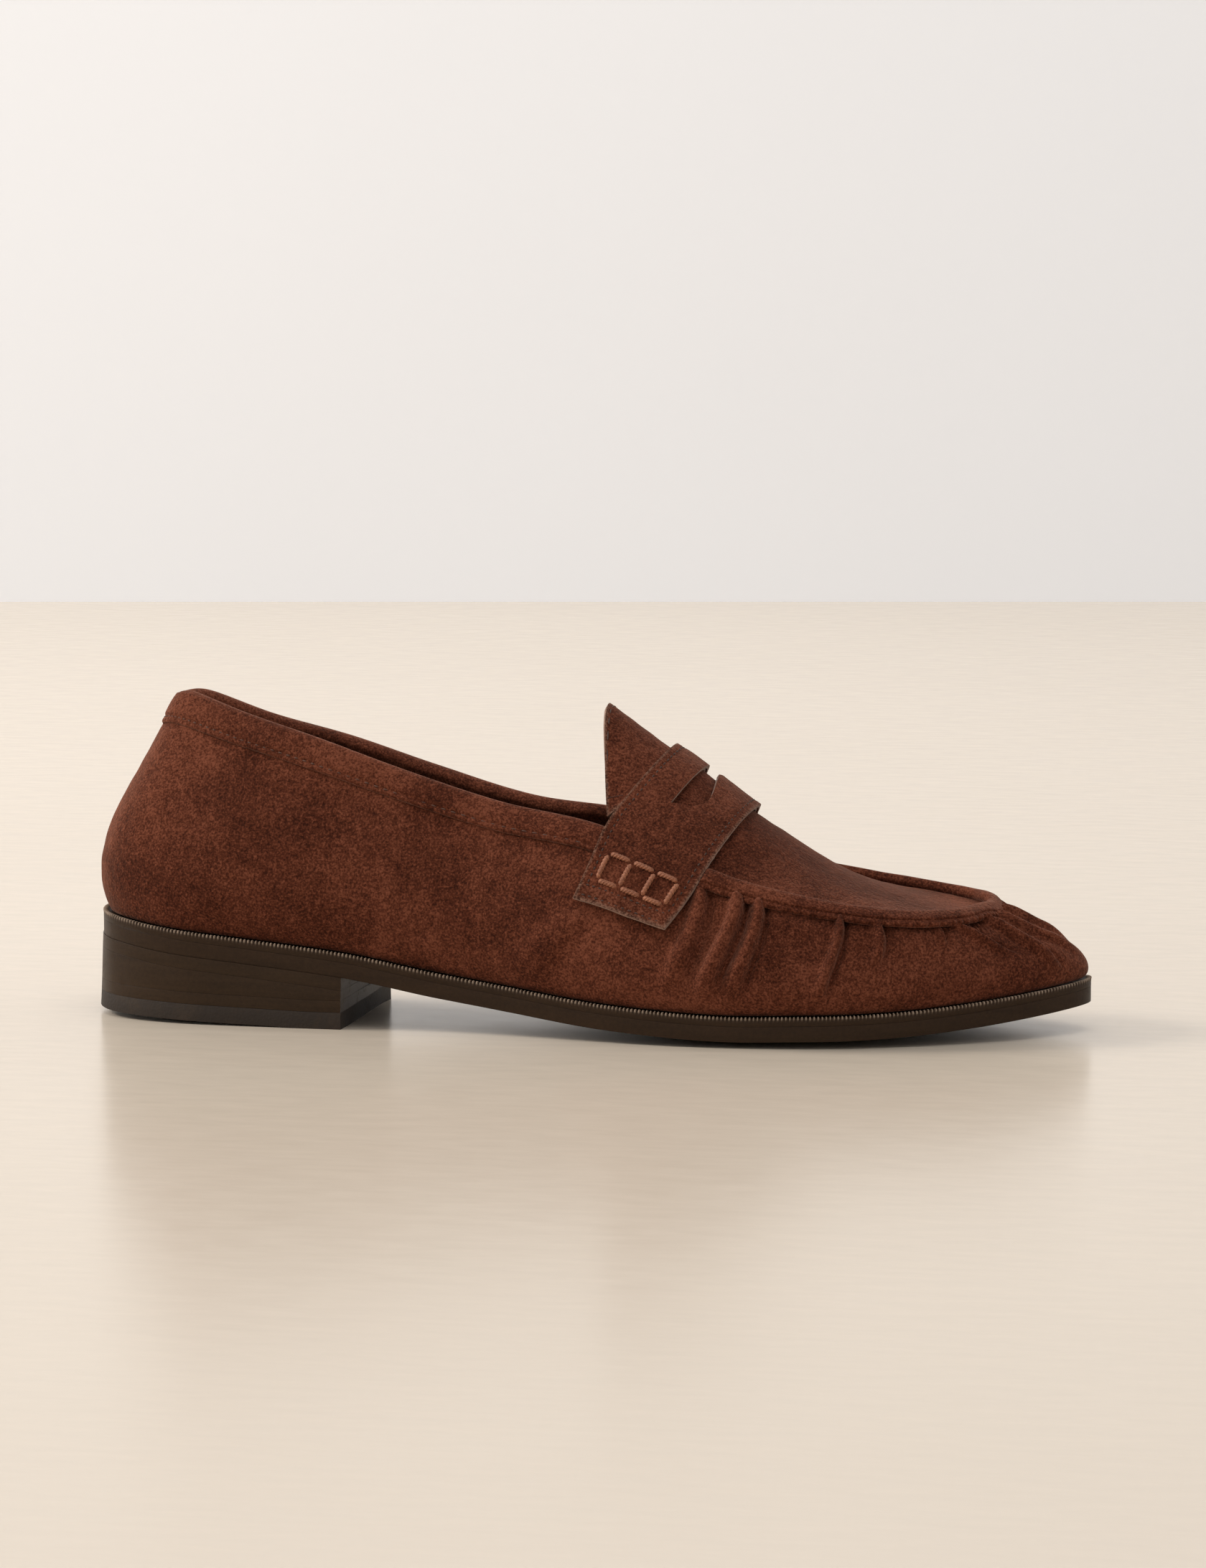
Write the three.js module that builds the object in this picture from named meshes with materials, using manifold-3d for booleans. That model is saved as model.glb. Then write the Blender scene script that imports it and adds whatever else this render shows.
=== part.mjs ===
// A soft penny loafer for the right foot, size 38, built from the ground up as a shoemaker builds it:
// heel stack, outsole, welt, insole and filler, then lining, stiffeners and upper, then strap and trim.
// Millimetres. +X runs from heel to toe, +Y to the inner (medial) side, +Z up, and the floor is z = 0.
import * as THREE from "three";
import { mergeVertices } from "three/addons/utils/BufferGeometryUtils.js";
import Module from "manifold-3d";

const wasm = await Module();
wasm.setup();

// Overall sizes
const shoe_length = 270;
const ball_width = 80; // of the upper at the feather edge, where it meets the welt
const back_height = 59; // of the upper at the back seam, above the welt
const heel_height = 21.75; // of the outsole's back edge above its tread line
const toe_spring = 7; // how far the tip of the toe lifts off the floor
const sole_cup = 1.5; // how far the edges of the outsole curl up from its middle at the ball
const heel_back_lift = 1.8; // of the heel's back edge off the floor
const heel_bearing = 10; // length of the heel's front that lies flat on the floor

// Bottom parts
const outsole_thickness = 4.1;
const welt_thickness = 2.1;
const welt_reach = 2; // how far the welt and outsole stand out from the upper
const welt_width = 9;
const heel_breast = 74; // from the back of the shoe to the front face of the heel
const heel_flare = 1; // how much wider the heel is at the floor than at the outsole
const top_piece_thickness = 4.5;
const heel_lift_thickness = 3.2;
const insole_thickness = 2;
const sock_thickness = 1;
const heel_pad_thickness = 2.5;
const heel_pad_end = 66;
const tuck_board_thickness = 1.4;
const tuck_board_end = 122;
const shank_thickness = 1.2;
const shank_width = 13;
const shank_ends = [52, 138];
const rivet_radius = 1.5;
const nail_radius = 1.1;
const nail_length = 9.4;
const nail_inset = 8;
const screw_radius = 2.2;
const screw_place = 36;

// Upper
const upper_thickness = 1.2;
const lasting_margin = 9; // the part of the upper that is turned in under the insole
const stiffener_thickness = 0.7;
const lining_thickness = 0.7;
const binding_thickness = 0.7;
const binding_width = [9.3, 6.8]; // at the back seam and at the strap
const apron_thickness = 1.2;
const piping_width = 4.6;
const piping_thickness = 3.2;
const tongue_tip = [140.8, 85.6]; // x, and height above the floor
const tongue_half_width = 21.9;
const strap_width = [29, 27.5]; // at its ends and over the crest of the instep
const strap_drop = [20, 17.5]; // how far the strap's rear and front edges hang below the apron seam
const strap_thickness = 1.2;
const strap_backing_thickness = 0.6;
const slot_half_length = 22;
const slot_width = 6.9;
const slot_rear = 10.4; // from the strap's rear edge
const thread_thickness = 1.2;
const ladder_boxes = 3;
const ladder_length = 20;
const ladder_height = 7.6;
const ladder_margin = 6.2; // from the end of the strap to the ladder stitch

// Fits
const glue_line = 0.25; // between two pieces that are glued or sewn face to face
const bedding = 0.45; // between two curved layers of the upper
const hole_clearance = 0.15; // on the radius of a nail, rivet or screw

// Girth lines of the base last, from the back of the heel (0) to the tip of the toe (12). Each row gives
// the feather edge (x, lateral y, medial y), the top edge (x, lateral y, medial y, and its rise above the
// welt on each side), the outward belly of the side low down and high up, and the crown of the instep
// above the top edge.
const base = { length: 270, ball: 80, back: 59 };
const girths = [
  { feather: [3.3, 0, 0], top: [22.5, 0, 0, 57.8, 57.8], belly: [9.5, 9] },
  { feather: [9.5, -16, 16], top: [28, -8, 8, 59, 58.4], belly: [8.5, 8] },
  { feather: [28, -24.5, 24.5], top: [45, -15.2, 15.2, 56.3, 53.8], belly: [8, 6.5] },
  { feather: [55, -26.5, 25.5], top: [66, -20, 20, 53, 50.2], belly: [8, 5.5] },
  { feather: [82, -27.5, 23.5], top: [90, -21.6, 21.6, 48.5, 45.7], belly: [9, 6], crown: [26, 0, 29] },
  { feather: [108, -30, 22], top: [116, -23, 23, 45.2, 42.4], belly: [9.5, 7], crown: [20, 0, 24] },
  { feather: [132, -34.5, 27], top: [144.5, -27.5, 27, 43, 41.2], belly: [9.5, 8], crown: [13.5, 0, 19.7] },
  { feather: [158, -39.5, 34.5], top: [176, -32.5, 29, 32.8, 33.2], belly: [8.5, 7], crown: [6, 0, 13.8] },
  { feather: [182, -40.5, 38.5], top: [200, -30.5, 28, 27.5, 29.3], belly: [8.5, 8], crown: [3, 0, 6] },
  { feather: [209, -36.5, 37], top: [221, -25.5, 24, 23.9, 26.2], belly: [6.5, 7], crown: [2, 0, 1.2] },
  { feather: [236, -24.5, 30], top: [235.5, -16, 17.5, 21.6, 23.3], belly: [5, 7], crown: [1, 0.5, 0] },
  { feather: [257, -9.5, 20.5], top: [241.3, -5.5, 10.5, 19.6, 20.6], belly: [4.5, 8.5], crown: [0.5, 0.5, 0] },
  { feather: [267.5, 6.5, 6.5], top: [243.2, 3, 3, 17.9, 17.9], belly: [4.5, 10], crown: [0, 0, 0] },
];
const toe = girths.length - 1;
const loop_count = 2 * toe;
const strap_rear = 6; // the girth line of the strap's rear edge

// How the bottom climbs: shares of the heel height behind the tread line, of the toe spring before it, and of
// the curl of the edges.
const heel_rise = [[0, 1], [0.0356, 0.954], [0.074, 0.89], [0.107, 0.844], [0.174, 0.766], [0.274, 0.632],
  [0.37, 0.43], [0.448, 0.276], [0.526, 0.126], [0.607, 0.034], [0.67, 0], [0.72, 0]];
const toe_rise = [[0.62, 0], [0.67, 0], [0.73, 0.036], [0.785, 0.079], [0.841, 0.193], [0.896, 0.414],
  [0.952, 0.714], [1, 1]];
const edge_rise = [[0.3, 0], [0.37, 0], [0.6, 1], [0.84, 1], [1, 0.6]];

// ---------- curves ----------

const mix = (a, b, u) => a + (b - a) * u;
const grade = new THREE.Vector3(shoe_length / base.length, ball_width / base.ball, back_height / base.back);

// A smooth curve through points of [x, value], flat beyond its ends.
function throughPoints(points) {
  const slope = (i) => {
    const [a, b] = [points[Math.max(i - 1, 0)], points[Math.min(i + 1, points.length - 1)]];
    return (b[1] - a[1]) / (b[0] - a[0]);
  };
  return (x) => {
    if (x <= points[0][0]) return points[0][1];
    if (x >= points.at(-1)[0]) return points.at(-1)[1];
    const i = points.findIndex((p) => p[0] > x) - 1;
    const [[x0, y0], [x1, y1]] = [points[i], points[i + 1]];
    const h = x1 - x0;
    const u = (x - x0) / h;
    return (
      y0 * (1 + 2 * u) * (1 - u) ** 2 + slope(i) * h * u * (1 - u) ** 2 +
      y1 * u * u * (3 - 2 * u) + slope(i + 1) * h * u * u * (u - 1)
    );
  };
}

const sole_thickness = outsole_thickness + glue_line + welt_thickness;
const heelShare = throughPoints(heel_rise);
const toeShare = throughPoints(toe_rise);
const edgeShare = throughPoints(edge_rise);
const edgeLift = (x) => sole_cup * edgeShare(x / shoe_length);
// Height of the welt's top face, on which the upper stands.
const weltTop = (x) =>
  sole_thickness +
  heel_height * heelShare(x / shoe_length) +
  toe_spring * toeShare(x / shoe_length) +
  edgeLift(x);

// A loop through one point for each girth line: down the lateral side from heel to toe, back up the medial.
function loopThrough(pointOf) {
  const points = Array.from({ length: loop_count }, (_, i) =>
    i <= toe ? pointOf(girths[i], "lateral") : pointOf(girths[loop_count - i], "medial"));
  const curve = new THREE.CatmullRomCurve3(points, true, "catmullrom", 0.5);
  return (i) => curve.getPoint((((i / loop_count) % 1) + 1) % 1);
}

const sideOf = (row, side) => (side === "lateral" ? row[1] : row[2]);
const featherLoop = loopThrough((g, side) =>
  new THREE.Vector3(g.feather[0] * grade.x, sideOf(g.feather, side) * grade.y, 0));
const topLoop = loopThrough((g, side) => {
  const rise = side === "lateral" ? g.top[3] : g.top[4];
  const z = rise * grade.z + weltTop(g.feather[0] * grade.x);
  return new THREE.Vector3(g.top[0] * grade.x, sideOf(g.top, side) * grade.y, z);
});
const bellyLoop = loopThrough((g) => new THREE.Vector3(g.belly[0], g.belly[1], 0));
const crownLoop = loopThrough((g) => new THREE.Vector3(...(g.crown ?? [0, 0, 0])));

const lateral = (s) => s; // place on the loop of girth line s, on each side
const medial = (s) => loop_count - s;

// How far the bottom sags below the height of its edges at a point.
const outlineOf = (side) => throughPoints(Array.from({ length: 49 }, (_, k) => {
  const p = featherLoop(side(toe * (k / 48)));
  return [p.x, p.y];
}).filter(([x], k, all) => k === 0 || x > all[k - 1][0]));
const lateralOutline = outlineOf(lateral);
const medialOutline = outlineOf(medial);
function sag({ x, y }) {
  const [low, high] = [lateralOutline(x), medialOutline(x)];
  const width = high - low;
  if (width < 1) return 0;
  const across = (2 * y - low - high) / width;
  return edgeLift(x) * Math.max(0, 1 - across * across) * Math.min(1, width / 40);
}

// Outward direction in plan at place i of the feather edge.
function outward(i) {
  const step = 0.02;
  const t = featherLoop(i + step).sub(featherLoop(i - step)).normalize();
  return new THREE.Vector3(t.y, -t.x, 0);
}

// A point of the sole's plan outline on the welt's top, moved out by reach (in, where reach is negative).
function edgeAt(i, reach) {
  const p = featherLoop(i).addScaledVector(outward(i), reach);
  p.z = weltTop(p.x);
  return p;
}

// ---------- the last's side and instep ----------

const upper_seat = glue_line; // the upper's lower face above the welt

// Side of the upper at loop place i, v from the feather edge (0) to the top edge (1): a cubic with a belly.
function sidePoint(i, v) {
  const foot = featherLoop(i);
  foot.z = weltTop(foot.x) + upper_seat;
  const head = topLoop(i);
  const belly = bellyLoop(i);
  const out = outward(i);
  const climb = 0.3 * (head.z - foot.z);
  const low = foot.clone().addScaledVector(out, belly.x);
  const high = head.clone().addScaledVector(out, belly.y);
  low.z += climb;
  high.z -= climb;
  return new THREE.CubicBezierCurve3(foot, low, high, head).getPoint(v);
}

// The same point moved along the side's outward normal; v above 1 goes on past the top edge.
function sideOffset(i, v, offset) {
  const held = Math.min(v, 1);
  const p = sidePoint(i, held);
  const along = sidePoint(i + 0.05, held).sub(sidePoint(i - 0.05, held));
  const up = sidePoint(i, Math.min(held + 0.03, 1)).sub(sidePoint(i, Math.max(held - 0.03, 0))).normalize();
  const normal = along.cross(up).normalize();
  return p.addScaledVector(up, (v - held) * sideHeight(i)).addScaledVector(normal, offset);
}

function sideHeight(i) {
  let length = 0;
  for (let k = 0; k < 8; k++) length += sidePoint(i, k / 8).distanceTo(sidePoint(i, (k + 1) / 8));
  return length;
}

// v at a distance below the top edge, measured on the surface.
const below = (i, distance) => 1 - distance / sideHeight(i);

// The instep between the two top edges at girth line s; a runs from the lateral (0) to the medial edge (1).
function instepPoint(s, a) {
  const p = topLoop(lateral(s)).lerp(topLoop(medial(s)), a);
  const crown = crownLoop(s).multiply(new THREE.Vector3(grade.x, grade.y, grade.z));
  return p.addScaledVector(crown, 4 * a * (1 - a));
}

function surfaceNormal(point, u, v, step = 0.01) {
  const du = point(u + step, v).sub(point(u - step, v));
  const dv = point(u, Math.min(v + step, 1)).sub(point(u, Math.max(v - step, 0)));
  return du.cross(dv).normalize();
}

function instepOffset(s, a, offset) {
  const held = Math.min(Math.max(s, 0), toe - 0.05);
  return instepPoint(s, a).addScaledVector(surfaceNormal(instepPoint, held, a), offset);
}

// ---------- solids ----------

// A closed solid from vertices and triangles: shared vertices merged, collapsed triangles dropped.
function closedSolid(vertices, triangles) {
  const flat = new THREE.BufferGeometry();
  flat.setAttribute("position", new THREE.Float32BufferAttribute(vertices.flatMap((p) => p.toArray()), 3));
  flat.setIndex(triangles.flat());
  const merged = mergeVertices(flat, 1e-3);
  const index = merged.index.array;
  const kept = [];
  for (let i = 0; i < index.length; i += 3) {
    const [a, b, c] = [index[i], index[i + 1], index[i + 2]];
    if (a !== b && b !== c && c !== a) kept.push(a, b, c);
  }
  merged.setIndex(kept);
  const solid = asManifold(merged);
  return solid.volume() < 0 ? asManifold(merged.setIndex(kept.reverse())) : solid;
}

function asManifold(geometry) {
  return new wasm.Manifold(new wasm.Mesh({
    numProp: 3,
    vertProperties: new Float32Array(geometry.attributes.position.array),
    triVerts: new Uint32Array(geometry.index.array),
  }));
}

// A sheet between two surfaces over the same grid. closed joins the last column to the first.
function sheet(columns, rows, face, back, closed = false) {
  const vertices = [];
  const width = closed ? columns : columns + 1;
  for (const surface of [face, back])
    for (let i = 0; i < width; i++)
      for (let j = 0; j <= rows; j++) vertices.push(surface(i / columns, j / rows));
  const at = (layer, i, j) => layer * width * (rows + 1) + (i % width) * (rows + 1) + j;
  const triangles = [];
  const quad = (a, b, c, d) => triangles.push([a, b, c], [a, c, d]);
  for (let i = 0; i < columns; i++) {
    for (let j = 0; j < rows; j++) {
      quad(at(0, i, j), at(0, i + 1, j), at(0, i + 1, j + 1), at(0, i, j + 1));
      quad(at(1, i, j), at(1, i, j + 1), at(1, i + 1, j + 1), at(1, i + 1, j));
    }
    quad(at(0, i, 0), at(1, i, 0), at(1, i + 1, 0), at(0, i + 1, 0));
    quad(at(0, i, rows), at(0, i + 1, rows), at(1, i + 1, rows), at(1, i, rows));
  }
  if (!closed)
    for (let j = 0; j < rows; j++) {
      quad(at(0, 0, j), at(0, 0, j + 1), at(1, 0, j + 1), at(1, 0, j));
      quad(at(0, columns, j), at(1, columns, j), at(1, columns, j + 1), at(0, columns, j + 1));
    }
  return closedSolid(vertices, triangles);
}

// Girth line whose feather edge lies at x on the lateral side.
function girthAt(x) {
  let [low, high] = [0, toe];
  for (let n = 0; n < 40; n++) {
    const middle = (low + high) / 2;
    if (featherLoop(middle).x < x) low = middle;
    else high = middle;
  }
  return low;
}

// A plate across the shoe between two girth lines. inset is from the feather edge, top and bottom are
// heights, and a flat plate doesn't hang in the middle as the curled sole does.
function plate({
  from = 0,
  to = toe,
  inset,
  topInset = inset,
  top,
  bottom,
  columns = 36,
  rows = 4,
  flat = false,
}) {
  const ease = (u) => (from === 0 && to === toe ? (1 - Math.cos(Math.PI * u)) / 2
    : from === 0 ? 1 - Math.cos((Math.PI / 2) * u)
      : to === toe ? Math.sin((Math.PI / 2) * u) : u);
  const layer = (height, edge) => (u, v) => {
    const s = mix(from, to, ease(u));
    const p = edgeAt(lateral(s), -edge).lerp(edgeAt(medial(s), -edge), v);
    p.z = height(p.x) - (flat ? 0 : sag(p));
    return p;
  };
  return sheet(columns, rows, layer(top, topInset), layer(bottom, inset));
}

// A round pin along Z with flat ends.
function pin(radius, x, y, low, high) {
  const shape = new THREE.CylinderGeometry(radius, radius, high - low, 12);
  shape.rotateX(Math.PI / 2).translate(x, y, (low + high) / 2);
  shape.deleteAttribute("normal").deleteAttribute("uv");
  return asManifold(mergeVertices(shape, 1e-4));
}

const drill = (solid, pins) => pins.reduce((left, p) => left.subtract(p), solid);

// ---------- bottom parts ----------

const heel_line = girthAt(heel_breast);
const soleTop = (x) => weltTop(x) - welt_thickness - glue_line;
const soleBottom = (x) => soleTop(x) - outsole_thickness;
const insoleBottom = (x) => weltTop(x) + upper_seat + upper_thickness + glue_line;
const insoleTop = (x) => insoleBottom(x) + insole_thickness;
const shell_thickness = upper_thickness + bedding + stiffener_thickness + bedding + lining_thickness;
const insole_inset = shell_thickness + 2 * bedding;
const lift_two_bottom = (x) => soleBottom(x) - glue_line - heel_lift_thickness;
const wedge_bottom = top_piece_thickness + heel_lift_thickness;

// Underside of the heel: flat at the front, from where it climbs to the back.
const floorOf = (x) => heel_back_lift * Math.max(0, 1 - x / (heel_breast - heel_bearing));
const nail_places = [0, 1.7, 3.2].flatMap((s) => (s ? [lateral(s), medial(s)] : [0]));
const nail_start = 0.5; // the nail heads are punched in above the floor
const nails = nail_places.map((i) => {
  const p = edgeAt(i, welt_reach - nail_inset);
  const start = floorOf(p.x) + nail_start;
  return [nail_radius, p.x, p.y, start, start + nail_length];
});
const screw = [screw_radius, screw_place, 0, wedge_bottom + 1, insoleTop(screw_place) - 0.2];
const holeFor = ([radius, x, y, low, high]) => pin(radius + hole_clearance, x, y, low - 1, high + 1);
const nail_holes = nails.map(holeFor);
const screw_hole = holeFor(screw);

const heelPlate = (top, bottom) => plate({
  to: heel_line,
  topInset: -welt_reach - flareAt(top(heel_breast / 2)),
  inset: -welt_reach - flareAt(bottom(heel_breast / 2)),
  top,
  bottom,
  columns: 18,
  flat: true,
});
const flareAt = (z) => heel_flare * Math.max(0, 1 - z / heel_height);

function topPiece() {
  const through = top_piece_thickness + heel_back_lift + 1;
  const openHole = ([radius, x, y]) => pin(radius + hole_clearance, x, y, -1, through);
  return drill(heelPlate((x) => floorOf(x) + top_piece_thickness, floorOf), nails.map(openHole));
}

const heelLift = () => drill(
  heelPlate(
    (x) => floorOf(x) + wedge_bottom - glue_line,
    (x) => floorOf(x) + top_piece_thickness + glue_line,
  ),
  nail_holes,
);
const heelWedge = () =>
  drill(
    heelPlate((x) => lift_two_bottom(x) - glue_line, (x) => floorOf(x) + wedge_bottom),
    [...nail_holes, screw_hole],
  );
const seatLift = () => drill(heelPlate((x) => soleBottom(x) - glue_line, lift_two_bottom), [screw_hole]);

const outsole = () =>
  drill(plate({ inset: -welt_reach, top: soleTop, bottom: soleBottom, columns: 44 }), [screw_hole]);

// A strip round the whole edge, on the outsole and under the upper.
function welt() {
  const layer = (height) => (u, v) => {
    const p = edgeAt(u * loop_count, welt_reach - v * welt_width);
    p.z = height(p.x) - sag(p);
    return p;
  };
  return sheet(80, 1, layer(weltTop), layer((x) => weltTop(x) - welt_thickness), true);
}

const filler_inset = Math.max(lasting_margin, welt_width - welt_reach) + 2 * glue_line;
const bottomFiller = () => plate({
  from: girthAt(shank_ends[1] + 4),
  to: 11,
  inset: filler_inset,
  top: (x) => insoleBottom(x) - bedding,
  bottom: (x) => soleTop(x) + glue_line,
  columns: 16,
  rows: 2,
});

const boardBottom = (x) => insoleBottom(x) - glue_line - tuck_board_thickness;
const rivet_places = [shank_ends[0] + 8, tuck_board_end - 10];
const rivets = rivet_places.map((x) => {
  const y = shankMiddle(x);
  const drop = sag({ x, y });
  const low = boardBottom(x) - glue_line - shank_thickness - 0.1;
  return [rivet_radius, x, y, low - drop, insoleBottom(x) - drop - 0.35];
});

// Centre line of the waist at x.
function shankMiddle(x) {
  const s = girthAt(x);
  return (featherLoop(lateral(s)).y + featherLoop(medial(s)).y) / 2;
}

const tuckBoard = () => drill(plate({
  from: 0.9,
  to: girthAt(tuck_board_end),
  inset: filler_inset,
  top: (x) => insoleBottom(x) - glue_line,
  bottom: boardBottom,
  columns: 16,
  rows: 2,
}), [screw_hole, ...rivets.map(holeFor)]);

function shank() {
  const layer = (height) => (u, v) => {
    const x = mix(...shank_ends, u);
    const taper = Math.sqrt(Math.max(0.12, Math.sin(Math.PI * mix(0.04, 0.96, u))));
    const p = new THREE.Vector3(x, shankMiddle(x) + (v - 0.5) * shank_width * taper, 0);
    return p.setZ(height(x) - sag(p));
  };
  const top = (x) => boardBottom(x) - glue_line;
  return drill(sheet(18, 2, layer(top), layer((x) => top(x) - shank_thickness)), rivets.map(holeFor));
}

const insole = () =>
  drill(plate({ inset: insole_inset, top: insoleTop, bottom: insoleBottom }), [screw_hole]);

// The sock lining climbs over the heel pad.
const padShare = throughPoints([[0, 1], [0.1, 1], [heel_pad_end / shoe_length, 0.35],
  [(heel_pad_end + 16) / shoe_length, 0], [1, 0]]);
const padTop = (x) =>
  insoleTop(x) + glue_line + heel_pad_thickness * Math.max(0, padShare(x / shoe_length));
const heelPad = () => plate({
  from: 0.25,
  to: girthAt(heel_pad_end),
  inset: insole_inset + 3,
  top: padTop,
  bottom: (x) => insoleTop(x) + glue_line,
  columns: 16,
});
const sockLining = () => plate({
  inset: insole_inset + 2.2,
  top: (x) => padTop(x) + glue_line + sock_thickness,
  bottom: (x) => padTop(x) + glue_line,
});

// ---------- upper ----------

const back_seam = 0.012; // half the slit between the two ends of the upper, in girth lines

// One strip of suede from the back seam round the toe to the back seam, its lower margin turned in.
function upperWall() {
  const margin_rows = 2;
  const rows = 9;
  const layer = (offset) => (u, v) => {
    const i = mix(back_seam, loop_count - back_seam, u);
    const row = Math.round(v * rows);
    if (row >= margin_rows) {
      const up = (row - margin_rows) / (rows - margin_rows);
      const p = sideOffset(i, up, -offset);
      if (row === margin_rows) p.z = weltTop(p.x) + upper_seat + offset;
      return p;
    }
    const p = edgeAt(i, -mix(lasting_margin, offset, row / margin_rows));
    p.z += upper_seat + offset - sag(p);
    return p;
  };
  return sheet(72, rows, layer(0), layer(upper_thickness));
}

// A band inside the side, between two loop places and two heights, at a depth below the suede's face.
function innerBand({ from, to, low, high, depth, thickness, columns, rows = 4 }) {
  const layer = (offset) => (u, v) => {
    const i = mix(from, to, u);
    const p = sideOffset(i, mix(low(i), high(i), v), -offset);
    const floor = weltTop(p.x) + upper_seat + upper_thickness + glue_line - sag(p);
    p.z = Math.max(p.z, floor);
    return p;
  };
  return sheet(columns, rows, layer(depth), layer(depth + thickness));
}

const stiffener_depth = upper_thickness + bedding;
const lining_depth = stiffener_depth + stiffener_thickness + bedding;
const foot_of_lining = () => 0.05;
const top_inset = 1.2; // the lining and its seam stop just short of the upper's top edge
const lining_top = (i) => below(i, top_inset);

const heelCounter = () => innerBand({
  from: -3,
  to: 3,
  low: () => 0.09,
  high: (i) => mix(below(i, binding_width[0] + 4), 0.35, Math.min(1, (Math.abs(i) / 3) ** 3)),
  depth: stiffener_depth,
  thickness: stiffener_thickness,
  columns: 18,
});
const toePuff = () => innerBand({
  from: toe - 5 / 3,
  to: toe + 5 / 3,
  low: () => 0.14,
  high: () => 0.9,
  depth: stiffener_depth,
  thickness: stiffener_thickness,
  columns: 10,
  rows: 4,
});
const lining_join = strap_rear + 2 / 3;
const quarterLining = () => innerBand({
  from: -lining_join,
  to: lining_join,
  low: foot_of_lining,
  high: lining_top,
  depth: lining_depth,
  thickness: lining_thickness,
  columns: 40,
});
const vampLining = () => innerBand({
  from: lining_join + 0.02,
  to: loop_count - lining_join - 0.02,
  low: foot_of_lining,
  high: lining_top,
  depth: lining_depth,
  thickness: lining_thickness,
  columns: 32,
});

// A strip folded over the topline: up the outside, over the edge and down the lining.
function toplineBinding() {
  const end = strap_rear - 0.02;
  const width = (i) => mix(...binding_width, Math.min(1, Math.abs(i) / strap_rear));
  const inner = lining_depth + lining_thickness + bedding;
  const outer_leg = 3;
  const rows = 2 * outer_leg + 2;
  const layer = (grow) => (u, v) => {
    const i = mix(-end, end, u);
    const row = Math.round(v * rows);
    const crest = 1 + (glue_line + grow) / sideHeight(i);
    if (row <= outer_leg)
      return sideOffset(i, mix(below(i, width(i)), crest, row / outer_leg), glue_line + grow);
    if (row === outer_leg + 1)
      return sideOffset(i, crest + grow / sideHeight(i) / 3, (glue_line - inner) / 2);
    const down = (row - outer_leg - 2) / outer_leg;
    return sideOffset(i, mix(crest, below(i, width(i)), down), -inner - grow);
  };
  return sheet(44, rows, layer(binding_thickness), layer(0));
}

// ---------- apron and tongue ----------

const seam_start = strap_rear + 0.34; // where the apron reaches its full width and is sewn to the side
const halfInstep = (s) => topLoop(lateral(s)).distanceTo(topLoop(medial(s))) / 2;
const tongueHalf = Math.min(tongue_half_width, halfInstep(strap_rear) - upper_thickness - 4 * glue_line);

// Share of the instep's width that the apron leaves free on each side.
function apronMargin(s) {
  const half = halfInstep(s);
  const at_tongue = (half - tongueHalf) / (2 * half);
  const at_tip = Math.max(0, s - toe + 2); // the side's edge turns in more steeply towards the tip
  const at_seam = (upper_thickness + 3 * glue_line + at_tip) / (2 * half);
  const u = Math.min(Math.max((s - strap_rear - 0.16) / (seam_start - strap_rear - 0.16), 0), 1);
  return mix(at_tongue, at_seam, u);
}

const apron_back = strap_rear + 0.02;
const tongue_root = strap_rear - 0.015; // the hinge line lies between them
const apron_tip = toe - 1.25;

function apronLayer(offset, extra = 0) {
  return (u, v) => {
    const s = mix(apron_back, apron_tip, u);
    const margin = Math.min(apronMargin(s) + extra / (2 * halfInstep(s)), 0.4);
    return instepOffset(s, mix(margin, 1 - margin, v), -offset);
  };
}

const apron = () => sheet(22, 10, apronLayer(0), apronLayer(apron_thickness));
const apron_lining_depth = apron_thickness + glue_line;
const apronLining = () => sheet(20, 8,
  apronLayer(apron_lining_depth, shell_thickness + 1),
  apronLayer(apron_lining_depth + lining_thickness, shell_thickness + 1));

// The tongue rises from the strap's rear edge: u from its root to its free end, v across.
function tonguePoint(u, v) {
  const margin = apronMargin(strap_rear);
  const root = instepPoint(tongue_root, mix(margin, 1 - margin, v));
  const arch = 4 * v * (1 - v);
  const foot = instepPoint(tongue_root, margin);
  const end = new THREE.Vector3(
    mix(foot.x - 4.5, tongue_tip[0] * grade.x, arch),
    (2 * v - 1) * tongueHalf,
    mix(foot.z - 4, tongue_tip[1], arch),
  );
  return root.lerp(end, u);
}

function tongueLayer(depth, inset = 0) {
  return (u, v) => {
    const held = mix(inset, 1 - inset, v);
    const normal = surfaceNormal((a, b) => tonguePoint(a, b), u, held).negate();
    return tonguePoint(mix(0, 1 - inset, u), held).addScaledVector(normal, -depth);
  };
}

const tongue = () => sheet(7, 14, tongueLayer(0), tongueLayer(apron_thickness));
const tongueLining = () => sheet(6, 12,
  tongueLayer(apron_lining_depth, 0.05), tongueLayer(apron_lining_depth + lining_thickness, 0.05));

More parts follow.
